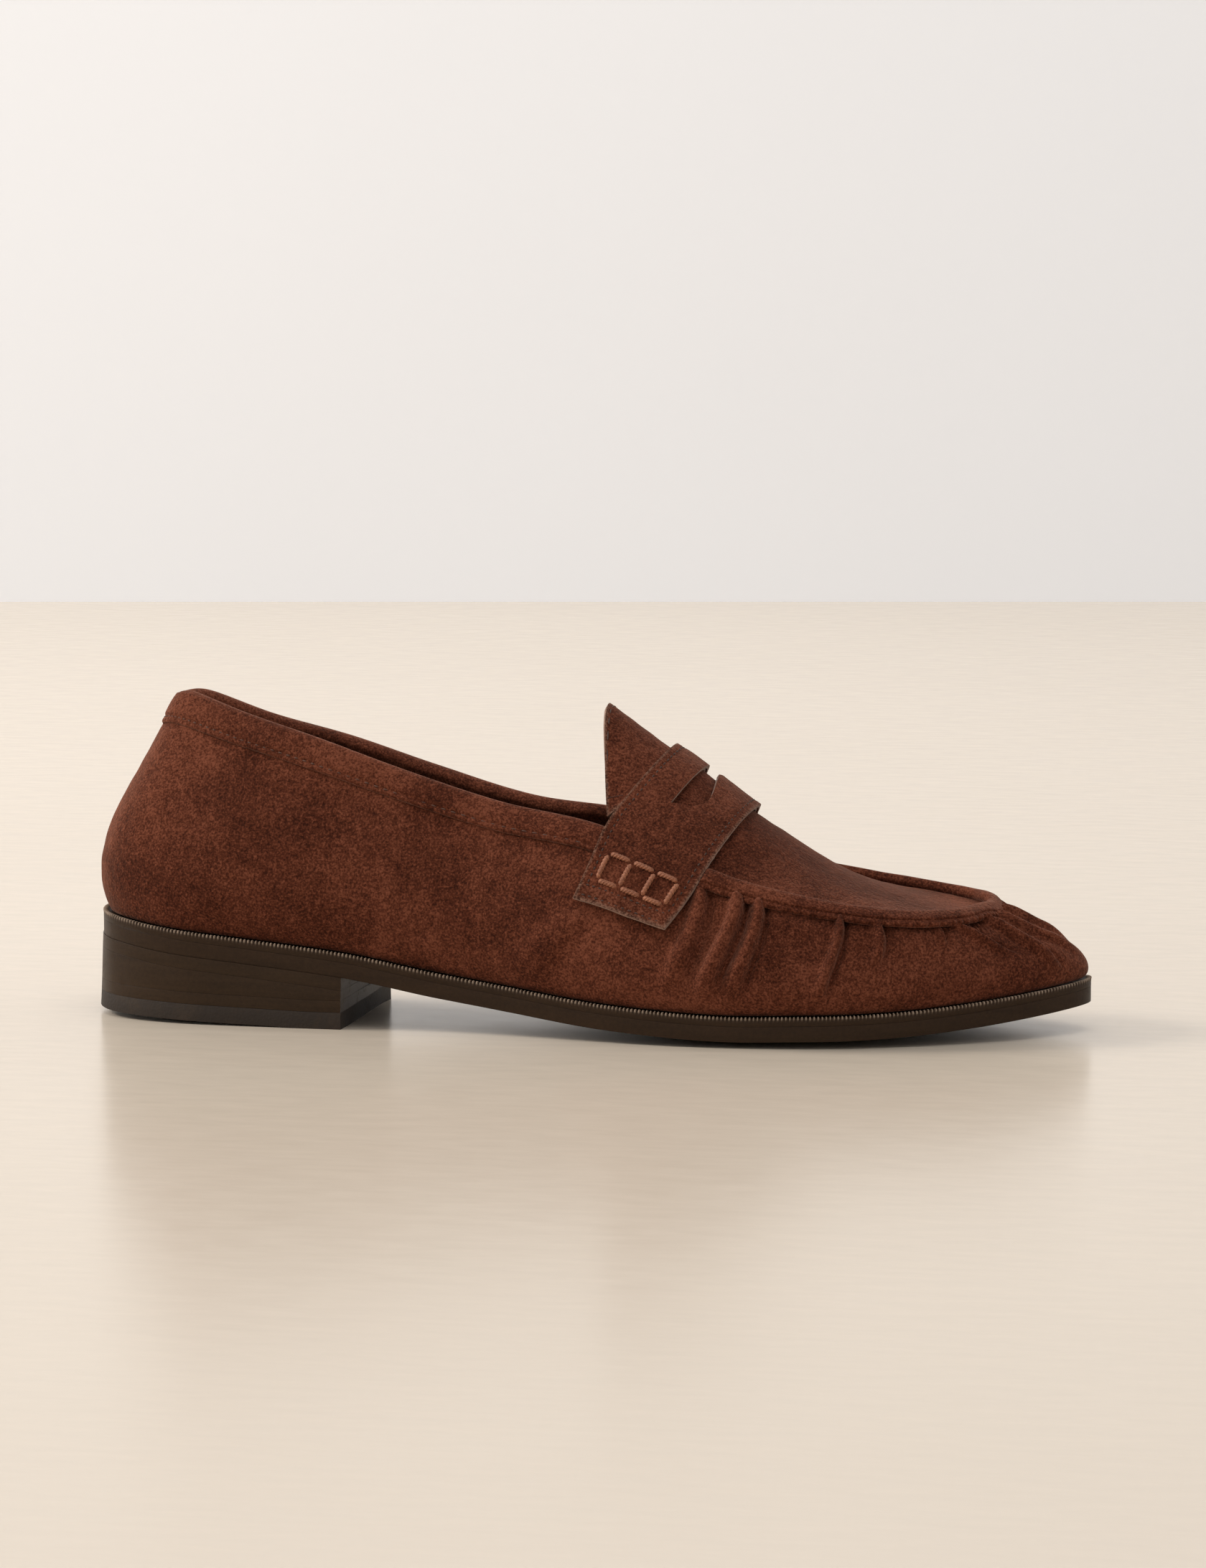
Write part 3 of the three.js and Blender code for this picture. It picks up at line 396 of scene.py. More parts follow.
class Finish:
    """A material under construction."""

    def __init__(self, name):
        self.material = bpy.data.materials.new(name)
        self.material.use_nodes = True
        self.nodes, self.links = self.material.node_tree.nodes, self.material.node_tree.links
        self.nodes.clear()
        self.place = self.add("ShaderNodeTexCoord", {}, {}, "Object")

    def add(self, kind, settings, sockets, output=0):
        """A node of a kind: its settings, then the values or wires of its sockets. Returns one of its
        outputs."""
        node = self.nodes.new(kind)
        for name, value in settings.items():
            if name == "stops":
                ramp = node.color_ramp.elements
                for k, (place, colour) in enumerate(value):
                    stop = ramp[k] if k < 2 else ramp.new(place)
                    stop.position, stop.color = place, (*colour, 1)
            else:
                setattr(node, name, value)
        for name, value in sockets.items():
            if isinstance(value, Wire):
                self.links.new(value.socket, node.inputs[name])
            else:
                socket = node.inputs[name]
                is_colour = isinstance(value, tuple) and len(value) == 3 and len(socket.default_value) == 4
                socket.default_value = (*value, 1) if is_colour else value
        return Wire(self, node.outputs[output])

    def stretched(self, x, y, z):
        """Object coordinates scaled along each axis, to draw a pattern out into streaks."""
        return self.add("ShaderNodeMapping", {}, {"Vector": self.place, "Scale": (x, y, z)})

    def noise(self, size, detail=3, roughness=0.55, distortion=0.0, vector=None):
        """Noise of 0 to 1 whose features are about size millimetres."""
        return self.add("ShaderNodeTexNoise", {"normalize": True}, {
            "Vector": vector or self.place, "Scale": 1000 / size, "Detail": detail, "Roughness": roughness,
            "Distortion": distortion})

    def cells(self, size):
        """Distance to the nearest of scattered points that lie about size millimetres apart."""
        return self.add("ShaderNodeTexVoronoi", {"feature": "F1"},
                        {"Vector": self.place, "Scale": 1000 / size}, "Distance")

    def within(self, value, low, high):
        """value mapped so that low gives 0 and high gives 1, clamped."""
        return self.add("ShaderNodeMapRange", {"interpolation_type": "SMOOTHSTEP"},
                        {"Value": value, "From Min": low, "From Max": high})

    def attribute(self, name):
        """The piece's own attribute of this name."""
        return self.add("ShaderNodeAttribute", {"attribute_name": name}, {}, "Fac")

    def colours(self, factor, first, second):
        """The first colour where factor is 0, the second where it is 1."""
        return self.add("ShaderNodeMix", {"data_type": "RGBA", "blend_type": "MIX", "clamp_factor": True},
                        {0: factor, 6: first, 7: second}, 2)

    def bump(self, height, depth, strength=1.0, below=None):
        """Normal of a relief whose height of 1 stands depth millimetres."""
        sockets = {"Height": height, "Distance": depth / 1000, "Strength": strength}
        if below:
            sockets["Normal"] = below
        return self.add("ShaderNodeBump", {}, sockets)

    def shade(self, **sockets):
        """The shader and the output. Socket names are written with _ for a space."""
        named = {name.replace("_", " "): value for name, value in sockets.items()}
        shader = self.add("ShaderNodeBsdfPrincipled", {}, named)
        output = self.nodes.new("ShaderNodeOutputMaterial")
        self.links.new(shader.socket, output.inputs["Surface"])
        return self.material


def suede(name, dark, mid, light):
    """Napped suede: clouds where the nap is brushed either way, tufts of about a millimetre, single fibres,
    and a lighter, greyer colour where the attribute wear rises."""
    f = Finish(name)
    clouds = f.noise(30, 3, 0.55, 0.6)
    patches = f.noise(8, 3, 0.6, 0.3)
    tufts = f.noise(1.9, 2, 0.6)
    fibres = f.noise(0.6, 2, 0.7)
    tone = (clouds - 0.5) * 1.25 + (patches - 0.5) * 0.45 + (tufts - 0.5) * 0.7 + (fibres - 0.5) * 2.4 + 0.5
    base = f.add("ShaderNodeValToRGB", {"stops": [(0.0, dark), (1.0, light), (0.5, mid)]}, {"Fac": tone})
    wear = f.within(f.attribute("wear") + (fibres - 0.5) * 0.5, 0.15, 0.85)
    worn = f.colours(f.within(fibres, 0.3, 0.7), (0.045, 0.020, 0.013), (0.26, 0.140, 0.095))
    colour = f.colours(wear * 0.8, base, worn)
    lie = f.bump(tufts * 0.6 + fibres * 0.4, 0.55)
    normal = f.bump(patches, 0.5, 0.5, lie)
    return f.shade(Base_Color=colour, Roughness=0.92, Normal=normal, Specular_IOR_Level=0.08,
                   Sheen_Weight=0.26, Sheen_Roughness=0.38, Sheen_Tint=(1.0, 0.55, 0.40))


def raw_edge(name, dark, light):
    """The cut edge of suede: loose fibres, lighter and greyer than the face."""
    f = Finish(name)
    fibres = f.noise(0.45, 3, 0.7)
    body = f.noise(2.4, 2)
    colour = f.colours(f.within(fibres * 0.7 + body * 0.3, 0.3, 0.7), dark, light)
    return f.shade(Base_Color=colour, Roughness=0.95, Normal=f.bump(fibres, 0.25), Specular_IOR_Level=0.1,
                   Sheen_Weight=0.4, Sheen_Roughness=0.5, Sheen_Tint=(1.0, 0.8, 0.7))


def lining_leather(name, dark, light):
    """Smooth lining leather: fine grain of small cells, creases and a soft change of colour."""
    f = Finish(name)
    clouds = f.noise(18, 3)
    grain = f.cells(0.8)
    creases = f.noise(5, 4, 0.6, 1.2)
    colour = f.colours(f.within(clouds * 0.7 + grain * 0.3, 0.25, 0.7), dark, light)
    normal = f.bump(creases, 0.25, 0.5, f.bump(grain, 0.12, 0.6))
    return f.shade(Base_Color=colour, Roughness=f.within(clouds, 0, 1) * 0.2 + 0.48, Normal=normal)


def sole_leather(name, dark, light, layers=0.0, gloss=0.40):
    """Dyed and waxed sole leather: streaks along the edge, small scuffs, and for a stack faint level
    lines."""
    f = Finish(name)
    streaks = f.noise(9, 4, 0.6, 0.2, f.stretched(0.35, 0.35, 3.0))
    grain = f.noise(0.9, 3, 0.65)
    scuffs = f.within(f.noise(4.5, 5, 0.7, 0.8), 0.52, 0.72)
    lines = f.noise(1.3, 2, 0.5, 0.0, f.stretched(0.02, 0.02, 1.6))
    tone = streaks * 0.35 + grain * 0.4 + lines * layers + 0.08
    colour = f.colours(f.within(tone, 0.2, 0.75), dark, light)
    # A pale colour where wear rises: on the welt this is painted glint on the teeth's crests, standing in for
    # light they catch.
    colour = f.colours(f.attribute("wear"), colour, (0.36, 0.27, 0.20))
    normal = f.bump(lines, 0.12 * layers + 0.001, 0.6, f.bump(grain, 0.05, 0.8))
    return f.shade(Base_Color=colour, Roughness=scuffs * 0.14 + grain * 0.10 + gloss, Normal=normal,
                   Specular_IOR_Level=0.18)


def rubber(name, dark, light):
    """Moulded rubber with a fine pebble and dust in it."""
    f = Finish(name)
    pebble = f.cells(0.7)
    dust = f.noise(8, 5, 0.7)
    colour = f.colours(f.within(dust, 0.4, 0.75), dark, light)
    return f.shade(Base_Color=colour, Roughness=dust * 0.2 + 0.6, Normal=f.bump(pebble, 0.08, 0.7))


def fibre_board(name, dark, light, size=1.2):
    """Pressed fibres or granules: cells of two tones, matt."""
    f = Finish(name)
    flecks = f.noise(size, 4, 0.7)
    cells = f.cells(size * 1.6)
    colour = f.colours(f.within(flecks * 0.6 + cells * 0.4, 0.25, 0.7), dark, light)
    return f.shade(Base_Color=colour, Roughness=0.9, Normal=f.bump(flecks, 0.15))


def metal(name, colour, roughness):
    """Drawn metal with fine marks along it."""
    f = Finish(name)
    marks = f.noise(0.7, 3, 0.6, 0.0, f.stretched(0.2, 1.0, 0.2))
    shade = f.colours(marks, tuple(c * 0.8 for c in colour), colour)
    return f.shade(Base_Color=shade, Metallic=1.0, Roughness=marks * 0.2 + roughness,
                   Normal=f.bump(marks, 0.02))


def thread(name, dark, light):
    """Waxed thread: strands come from the shape, fibres from noise."""
    f = Finish(name)
    fibres = f.noise(0.35, 3, 0.7)
    wax = f.noise(2.5, 2)
    colour = f.colours(f.within(fibres * 0.7 + wax * 0.3, 0.3, 0.7), dark, light)
    return f.shade(Base_Color=colour, Roughness=0.62, Normal=f.bump(fibres, 0.08), Sheen_Weight=0.25,
                   Sheen_Roughness=0.4, Sheen_Tint=(1.0, 0.7, 0.5))


suede_brown = suede("suede_brown", (0.034, 0.0080, 0.0037), (0.096, 0.0255, 0.0122), (0.205, 0.064, 0.034))
suede_edge = raw_edge("suede_edge", (0.12, 0.060, 0.040), (0.40, 0.235, 0.165))
lining_brown = lining_leather("lining_brown", (0.030, 0.012, 0.007), (0.075, 0.032, 0.019))
sole_brown = sole_leather("sole_brown", (0.020, 0.0095, 0.0038), (0.046, 0.0240, 0.0108))
stack_brown = sole_leather("stack_brown", (0.019, 0.0094, 0.0038), (0.043, 0.0235, 0.0108), 0.16, 0.42)
heel_rubber = rubber("heel_rubber", (0.018, 0.0092, 0.0040), (0.038, 0.0215, 0.0105))
leatherboard = fibre_board("leatherboard", (0.24, 0.14, 0.07), (0.48, 0.32, 0.19))
stiffener_cloth = fibre_board("stiffener_cloth", (0.42, 0.38, 0.30), (0.62, 0.57, 0.48), 0.6)
cork_filler = fibre_board("cork_filler", (0.16, 0.08, 0.035), (0.48, 0.29, 0.15), 1.8)
foam_cream = fibre_board("foam_cream", (0.55, 0.49, 0.40), (0.76, 0.71, 0.61), 0.5)
steel = metal("steel", (0.50, 0.50, 0.49), 0.28)
nail_brass = metal("nail_brass", (0.58, 0.40, 0.16), 0.28)
thread_tan = thread("thread_tan", (0.17, 0.050, 0.021), (0.46, 0.175, 0.085))
thread_dark = thread("thread_dark", (0.022, 0.0085, 0.005), (0.060, 0.024, 0.014))
thread_brown = thread("thread_brown", (0.045, 0.016, 0.009), (0.13, 0.052, 0.031))


# ---------- the bottom: outsole, welt and heel ----------

def slab(ends, reach, top, bottom, edge=0.5, columns=160, rows=24, cup=True, groove=0.0):
    """Rings of a plate across the shoe, one for each girth line: lateral to medial over the top face, round
    the medial edge, back over the bottom face, round the lateral edge. Corners are quarter circles of
    radius edge. A groove is a shallow channel in the bottom face, 4.5 mm in. reach is (at the top, at the
    bottom)."""
    start, end = ends
    u = np.linspace(0, 1, columns)
    whole = start == 0 and end == toe
    ease = (1 - np.cos(np.pi * u)) / 2 if whole else 1 - np.cos(np.pi / 2 * u) if start == 0 else u
    s = mix(start, end, ease)[:, None]
    turn = np.linspace(0, np.pi / 2, 5)
    near_edge = np.array([6.2, 5.4, 5.0, 4.5, 4.0, 3.6, 2.6, 1.6])
    face = np.linspace(0, 1, rows)
    # Each point of the ring: share of the way across, inset from the edge, drop from its face, and which
    # face.
    lateral_top = [(0, edge * (1 - np.sin(t)), edge * (1 - np.cos(t)), 1) for t in turn[::-1]]
    lateral_top += [(0, edge + inset, 0, 1) for inset in near_edge[::-1]]
    across_top = [(f, edge + 7, 0, 1) for f in face]
    half = lateral_top + across_top
    ring = half + [(1 - f, inset, drop, 1) for f, inset, drop, _ in lateral_top[::-1]]
    ring = ring + [(f, inset, drop, 0) for f, inset, drop, _ in ring[::-1]]
    across, inset, drop, is_top = np.array(ring).T
    out = mix(reach[1], reach[0], is_top) - inset
    hindmost, foremost = (edge_at(np.full(out.shape, float(place)), out)[:, 0] for place in (0, toe))
    shape = np.broadcast(s, out).shape
    out = np.broadcast_to(out, shape)
    lateral = edge_at(np.broadcast_to(s, shape), out)
    medial = edge_at(around - np.broadcast_to(s, shape), out)
    p = mix(lateral, medial, across[:, None])
    crossed = lateral[..., 1] > medial[..., 1]
    p[..., 1] = np.where(crossed, (lateral[..., 1] + medial[..., 1]) / 2, p[..., 1])
    p[..., 0] = np.clip(p[..., 0], hindmost, foremost)
    room = medial[..., 1] - lateral[..., 1]
    channel = groove * bell(inset - edge - 4.5, 0.5) * (1 - is_top) * smooth_step(4, 10, room)
    z = np.where(is_top > 0, top(p[..., 0]) - drop, bottom(p[..., 0]) + drop + channel)
    p[..., 2] = z - (sag(p[..., 0], p[..., 1]) if cup else 0)
    return p


def sole_top(x):
    """Height of the outsole's top face: the welt's top less its thickness and the glue."""
    return welt_top(x) - welt_thickness - glue_line


def sole_bottom(x):
    """Height of the outsole's bottom face: its top less its thickness."""
    return sole_top(x) - outsole_thickness


def tread(x):
    """Underside of the heel: flat at its front and rising from there to the back."""
    return heel_back_lift * np.maximum(0, 1 - x / (heel_breast - heel_bearing))


heel_breast, heel_bearing, heel_flare = 74, 10, 1
samples = np.linspace(2, 6, 400)
heel_line_s = float(np.interp(heel_breast, feather_plan(samples)[:, 0], samples))
top_piece_thickness, heel_lift_thickness = 4.5, 3.2
wedge_bottom = top_piece_thickness + heel_lift_thickness
seam_gap = 0.03


def flare_at(z):
    """How far the heel stands out at height z: in full at the floor, nothing at its top."""
    return heel_flare * max(0, 1 - z / heel_height)


outsole_rings = slab((0, toe), (welt_reach, welt_reach), sole_top, sole_bottom, 0.12, groove=0.35)
outsole = tube_piece("outsole_leather", outsole_rings, [sole_brown])
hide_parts("outsole")
# The heel's layers from the floor up: piece, node, height of its top and of its bottom, slot, finish, edge.
heel_layers = [
    ("heel_top_piece", "top_piece",
     lambda x: tread(x) + top_piece_thickness,
     tread,
     "heel_rubber", heel_rubber, 0.16),
    ("heel_lift_leather", "heel_lift",
     lambda x: tread(x) + wedge_bottom - seam_gap,
     lambda x: tread(x) + top_piece_thickness + seam_gap,
     "heel_leather", stack_brown, 0.07),
    ("heel_wedge_leather", "heel_wedge",
     lambda x: sole_bottom(x) - glue_line - heel_lift_thickness - seam_gap,
     lambda x: tread(x) + wedge_bottom,
     "heel_leather", stack_brown, 0.07),
    ("seat_lift_leather", "seat_lift",
     lambda x: sole_bottom(x) - seam_gap,
     lambda x: sole_bottom(x) - glue_line - heel_lift_thickness,
     "heel_leather", stack_brown, 0.07),
]
heel_middle = heel_breast / 2
for name, node, top, bottom, record_slot, finish, edge in heel_layers:
    reach = tuple(welt_reach + flare_at(face(heel_middle)) for face in (top, bottom))
    rings = slab((0, heel_line_s), reach, top, bottom, edge, 70, 24, cup=False)
    layer = tube_piece(name, rings, [finish])
    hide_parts(node)

# The welt: a strip round the edge. Its profile runs from the inner bottom corner out and back over the top;
# small teeth pressed by a fudge wheel stand across the outer half of its top face.
notch_pitch, welt_rows = 1.05, 2800
loop_i = np.linspace(0, around, 2401)[:-1]
rim = edge_at(loop_i, np.full(loop_i.shape, float(welt_reach)))
rim_length = np.concatenate([[0], np.cumsum(np.linalg.norm(np.diff(rim, axis=0), axis=1))])
places = np.interp(np.linspace(0, rim_length[-1], welt_rows + 1)[:-1], rim_length, loop_i)[:, None]
teeth = round(rim_length[-1] / notch_pitch)
phase = np.linspace(0, tau * teeth, welt_rows + 1)[:-1][:, None]
welt_profile = np.array([
    # reach, height from the welt's top, share of the teeth and of their painted glint
    [-7.0, -2.33, 0], [1.97, -2.33, 0], [2.01, -2.28, 0], [2.01, -1.3, 0], [2.01, -0.8, 0.1],
    [2.02, -0.5, 0.8], [1.98, -0.2, 1], [1.75, -0.02, 1], [1.3, 0.0, 1], [0.85, -0.05, 0.7],
    [0.55, -0.3, 0], [0.1, -0.45, 0], [-7.0, -0.2, 0]])
tooth = 0.30 * (np.maximum(np.cos(phase), -0.35) - 0.3) * welt_profile[:, 2]
welt_rings = edge_at(np.broadcast_to(places, tooth.shape), welt_profile[:, 0] + 0.7 * tooth)
welt_rings[..., 2] += welt_profile[:, 1] + tooth - sag(welt_rings[..., 0], welt_rings[..., 1])
# The welt's wear is painted glint: each tooth's crest and the outer top half turn pale in place of the light
# they would catch.
welt = tube_piece("welt_leather", welt_rings, [sole_brown], closed=True,
                  wear=tooth / 0.16 + 0.12 * welt_profile[:, 2])
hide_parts("welt")


# ---------- the inside: sock, linings ----------

upper_thickness, bedding, lining_thickness, stiffener_thickness = 1.2, 0.45, 0.7, 0.7
shell_thickness = upper_thickness + bedding + stiffener_thickness + bedding + lining_thickness
insole_inset = shell_thickness + 2 * bedding
lining_depth = upper_thickness + 2 * bedding + stiffener_thickness
insole_thickness, pad_thickness = 2, 2.5
pad_share = through([[0, 1], [0.1, 1], [66 / 270, 0.35], [82 / 270, 0], [1, 0]])


def sock_bottom(x):
    """The insole's top, raised over the heel pad."""
    insole_top = welt_top(x) + 2 * glue_line + upper_thickness + insole_thickness
    return insole_top + 2 * glue_line + pad_thickness * np.maximum(0, pad_share(x / shoe_length))


sock_gap, sock_thickness = 0.35, 1
sock_reach = (-insole_inset - sock_gap,) * 2
sock_rings = slab((0, toe), sock_reach, lambda x: sock_bottom(x) + sock_thickness, sock_bottom, 0.4, 130, 30)
sock_rings[..., 2] += 0.12 * waves(sock_rings, 30, 5)
sock = tube_piece("sock_leather", sock_rings, [lining_brown])
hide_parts("sock_lining")


def inner_band(name, node, ends, columns):
    """A lining inside the side: rings that run up its face, over its top edge and down its back."""
    i = np.linspace(*ends, columns)[:, None]
    up = np.linspace(0, 1, 26)
    v = np.concatenate([up, up[::-1]])
    face = np.repeat([1.0, 0.0], 26)
    high = below(i, 1.2)
    rings = side_offset(i, mix(0.05, high, v), -(lining_depth + lining_thickness * face))
    soft = 0.25 * waves(rings, 24, 11) * np.sin(np.pi * v) * face
    rings = rings + side_frame(i + 0 * v, v + 0 * i)[1] * soft[..., None]
    floor = welt_top(rings[..., 0]) + 2 * glue_line + upper_thickness - sag(rings[..., 0], rings[..., 1])
    rings[..., 2] = np.maximum(rings[..., 2], floor)
    piece = tube_piece(name, rings, [lining_brown])
    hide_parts(node)


lining_join = strap_rear + 2 / 3
inner_band("quarter_lining_leather", "quarter_lining", (-lining_join, lining_join), 180)
inner_band("vamp_lining_leather", "vamp_lining", (lining_join + 0.02, around - lining_join - 0.02), 180)


# ---------- the upper ----------

# Gathers of the suede below the apron seam: place on the loop and share of the height at the top and at the
# foot of each ridge, its bow towards the toe, half its width at the top and at the foot and its height in
# millimetres, and the depth of the valley on its toe side as a share of that.
gathers = np.array([
    [6.06, 0.52, 5.72, 0.10, 0.00, 4.0, 6.0, 0.9, 0.4],
    [6.86, 0.93, 7.23, 0.18, 0.00, 1.9, 3.0, 2.3, 0.7],
    [7.20, 0.97, 7.65, 0.10, -0.02, 1.7, 2.7, 2.8, 0.8],
    [7.41, 0.97, 7.96, 0.12, -0.01, 1.5, 2.4, 2.5, 0.8],
    [8.32, 0.97, 8.78, 0.10, 0.00, 1.1, 2.0, 2.2, 1.0],
    [8.73, 0.96, 9.00, 0.50, 0.05, 1.4, 1.8, 1.8, 0.8],
    [9.62, 0.95, 9.74, 0.70, 0.00, 1.0, 1.3, 1.1, 0.9],
    [9.90, 0.95, 10.82, 0.48, 0.03, 1.3, 1.9, 2.1, 0.8],
    [10.76, 0.96, 11.27, 0.22, 0.20, 1.3, 2.0, 2.3, 0.8],
    [11.50, 0.96, 11.95, 0.28, 0.00, 1.4, 2.0, 2.0, 0.8],
    [12.12, 0.96, 12.42, 0.36, 0.00, 1.5, 2.1, 2.1, 0.7],
    [12.95, 0.96, 13.10, 0.40, 0.00, 1.4, 1.9, 1.6, 0.7],
])


# The medial side has the first of these gathers, mirrored, lower and a little nearer the heel.
medial_gathers, medial_height, medial_shift = 8, 0.85, 0.09


def gather_field(i, v, pitch, lines):
    """Height of the gathers at (i, v). Across its line a ridge is exp(-|distance / width|^3), round on top
    and steep at its sides, with a valley beside it, and along the line a window lets it in at its top and
    out at its foot."""
    total = np.zeros(np.broadcast(i, v).shape)
    for top_i, top_v, foot_i, foot_v, bow, top_width, foot_width, height, valley in lines:
        share = (top_v - v) / (top_v - foot_v)
        held = np.clip(share, 0, 1)
        distance = (i - mix(top_i, foot_i, share) - 4 * bow * held * (1 - held)) * pitch
        width = mix(top_width, foot_width, held)
        window = smooth_step(-0.07, 0.06, share) * (1 - smooth_step(0.55, 1.05, share))
        ridge = np.exp(-np.abs(distance / width) ** 3)
        profile = ridge - valley * bell(distance - 1.35 * width, 0.42 * width)
        total = total + height * profile * window
    return total


def wall_relief(i, v):
    """How far the suede of the side stands off the last."""
    i, v = np.broadcast_arrays(i, v)
    p = side_point(i, v)
    pitch = np.linalg.norm(side_point(i + 0.05, v) - side_point(i - 0.05, v), axis=-1) / 0.1
    s = np.minimum(i, around - i)
    depth = (1 - v) * side_height(i)
    front = smooth_step(6.75, 7.15, s)
    relief = gather_field(i, v, pitch, gathers)
    relief += medial_height * gather_field(around - medial_shift - i, v, pitch, gathers[:medial_gathers])
    relief += 0.7 * bell((s - 7.95) * pitch, 6.5) * bell(depth - 7, 6)
    relief += front * (0.9 * bell(depth - 5.5, 4.5) - 0.8 * bell(depth, 1.3))
    relief += 2.1 * bell(s - toe, 1.5) * bell(v - 0.42, 0.3)
    pucker = np.cos(tau * (s * 6.1 + 0.7 * np.sin(s * 5.3)))
    relief += front * 0.28 * pucker * bell(depth - 2.5, 3.0)
    relief += 0.16 * waves(p, 26, 3) + 0.05 * waves(p, 7, 4)
    seam = np.minimum(i, around - i) * pitch
    relief += 0.18 * bell(seam - 1.1, 0.8) - 0.5 * bell(seam, 0.35)
    return relief * smooth_step(0, 0.06, v)


def upper_wall():
    """Rings round the side's section: up its face, over its top edge and down its back."""
    runs = (np.linspace(0, 6.4, 121), np.linspace(6.4, 17.6, 561), np.linspace(17.6, around, 121))
    i = np.concatenate([run[:-1] for run in runs])[:, None]
    rise = np.linspace(0, 1, 66)
    back = np.linspace(1, 0.02, 10)
    face = side_offset(i, rise, wall_relief(i, rise))
    lining_side = side_offset(i, back, np.full(back.shape, -upper_thickness))
    margin = edge_at(i + 0 * back[:1], np.full((len(i), 1), -5.0))
    margin[..., 2] += glue_line - sag(margin[..., 0], margin[..., 1])
    margin_top = margin + [0, 0, upper_thickness]
    return np.concatenate([margin, face, lining_side, margin_top], axis=1)


wall = tube_piece("upper_suede", upper_wall(), [suede_brown], closed=True)
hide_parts("upper_wall")


# The band's width at the heel and at the strap, and how far its padding stands out and in.
band_width, padded_out, padded_in = (9.3, 6.8), 0.42, 0.4


def topline_band():
    """Rings round the band's section: up the outside from its turned edge to the crest, round it and down
    the inside. The band is padded: its thickness is a bell over its width, with a stitched groove above its
    lower edge."""
    end = strap_rear + 0.28
    i = np.linspace(-end, end, 420)[:, None]
    s = np.abs(i)
    width = mix(*band_width, np.minimum(1, s / strap_rear))
    fade = 1 - smooth_step(strap_rear - 0.02, strap_rear + 0.16, s)
    inner = lining_depth + lining_thickness + bedding
    up = np.linspace(0, 1, 26)
    lip = np.sqrt(1 - (1 - np.minimum(up / 0.10, 1)) ** 2)
    groove = 0.46 * bell((up - 0.21) * width, 0.55)
    padding = glue_line + lip * (0.62 + 0.55 * np.sin(np.pi * up) ** 0.8) - groove
    crest = below(i, -0.2)
    base_low = below(i, width)
    outside = side_offset(i, mix(base_low, crest, up), fade * padding + 0.02)
    puckers = 0.07 * np.cos(tau * i * 9.2 + 1.1 * np.sin(i * 7)) * bell((up - 0.16) * width, 1.6)
    soft = (0.12 * waves(outside, 14, 21) * lip + puckers) * fade
    outside = outside + side_frame(i + 0 * up, np.minimum(mix(base_low, crest, up), 1))[1] * soft[..., None]
    turn = np.linspace(0, np.pi, 13)[1:-1]
    centre = side_offset(i, crest, np.full(i.shape, (glue_line + padded_out - inner - padded_in) / 2))
    up_way, out_way = side_frame(i, np.ones(i.shape))
    half = (inner + padded_in + glue_line + padded_out) / 2
    over = centre + out_way * half * np.cos(turn)[:, None] + up_way * (1.5 * np.sin(turn))[:, None]
    down = np.linspace(1, 0, 20)
    inside_pad = inner + padded_in * np.sqrt(1 - (1 - np.minimum(down / 0.12, 1)) ** 2)
    inside = side_offset(i, mix(base_low, crest, down), -inside_pad)
    inside_out = side_frame(i + 0 * down, np.minimum(mix(base_low, crest, down), 1))[1]
    inside = inside + inside_out * (0.1 * waves(inside, 14, 22))[..., None]
    low, high = base_low + 0.02, crest - 0.01
    core = np.array([-inner + 0.1, -inner + 0.1, glue_line - 0.2, glue_line - 0.2])
    under = side_offset(i, np.concatenate([low, high, high, low], axis=1), core)
    return np.concatenate([outside, over, inside, under], axis=1)


binding = tube_piece("topline_band_suede", topline_band(), [suede_brown])
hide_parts("topline_binding")


# ---------- apron and tongue ----------

tongue_half_width, tongue_tip, tongue_root = 21.9, (140.8, 85.6), strap_rear - 0.015
seam_start, apron_back, apron_tip = strap_rear + 0.34, strap_rear + 0.02, toe - 0.8


def apron_margin(s):
    """Share of the instep's width that the leather leaves free on each side: wide at the tongue, narrow at
    the seam."""
    half = np.linalg.norm(top_edge(s) - top_edge(around - s), axis=-1) / 2
    at_tongue = (half - tongue_half_width) / (2 * half)
    at_tip = np.maximum(0, s - toe + 2) * 0.25
    at_seam = (0.8 + at_tip) / (2 * half)
    u = np.clip((s - strap_rear - 0.16) / (seam_start - strap_rear - 0.16), 0, 1)
    return mix(at_tongue, at_seam, u)


def tongue_point(t, v):
    """The tongue rises from its root (t = 0) to its free end (t = 1), which is a parabola across."""
    t, v = np.broadcast_arrays(np.asarray(t, float), np.asarray(v, float))
    margin = apron_margin(np.float64(strap_rear))
    root = instep_point(tongue_root, mix(margin, 1 - margin, v))
    arch = 4 * v * (1 - v)
    foot = instep_point(tongue_root, margin)
    end = np.stack([mix(foot[0] - 4.5, tongue_tip[0], arch), (2 * v - 1) * tongue_half_width,
                    mix(foot[2] - 4, tongue_tip[1], arch)], axis=-1)
    return mix(root, end, t[..., None])


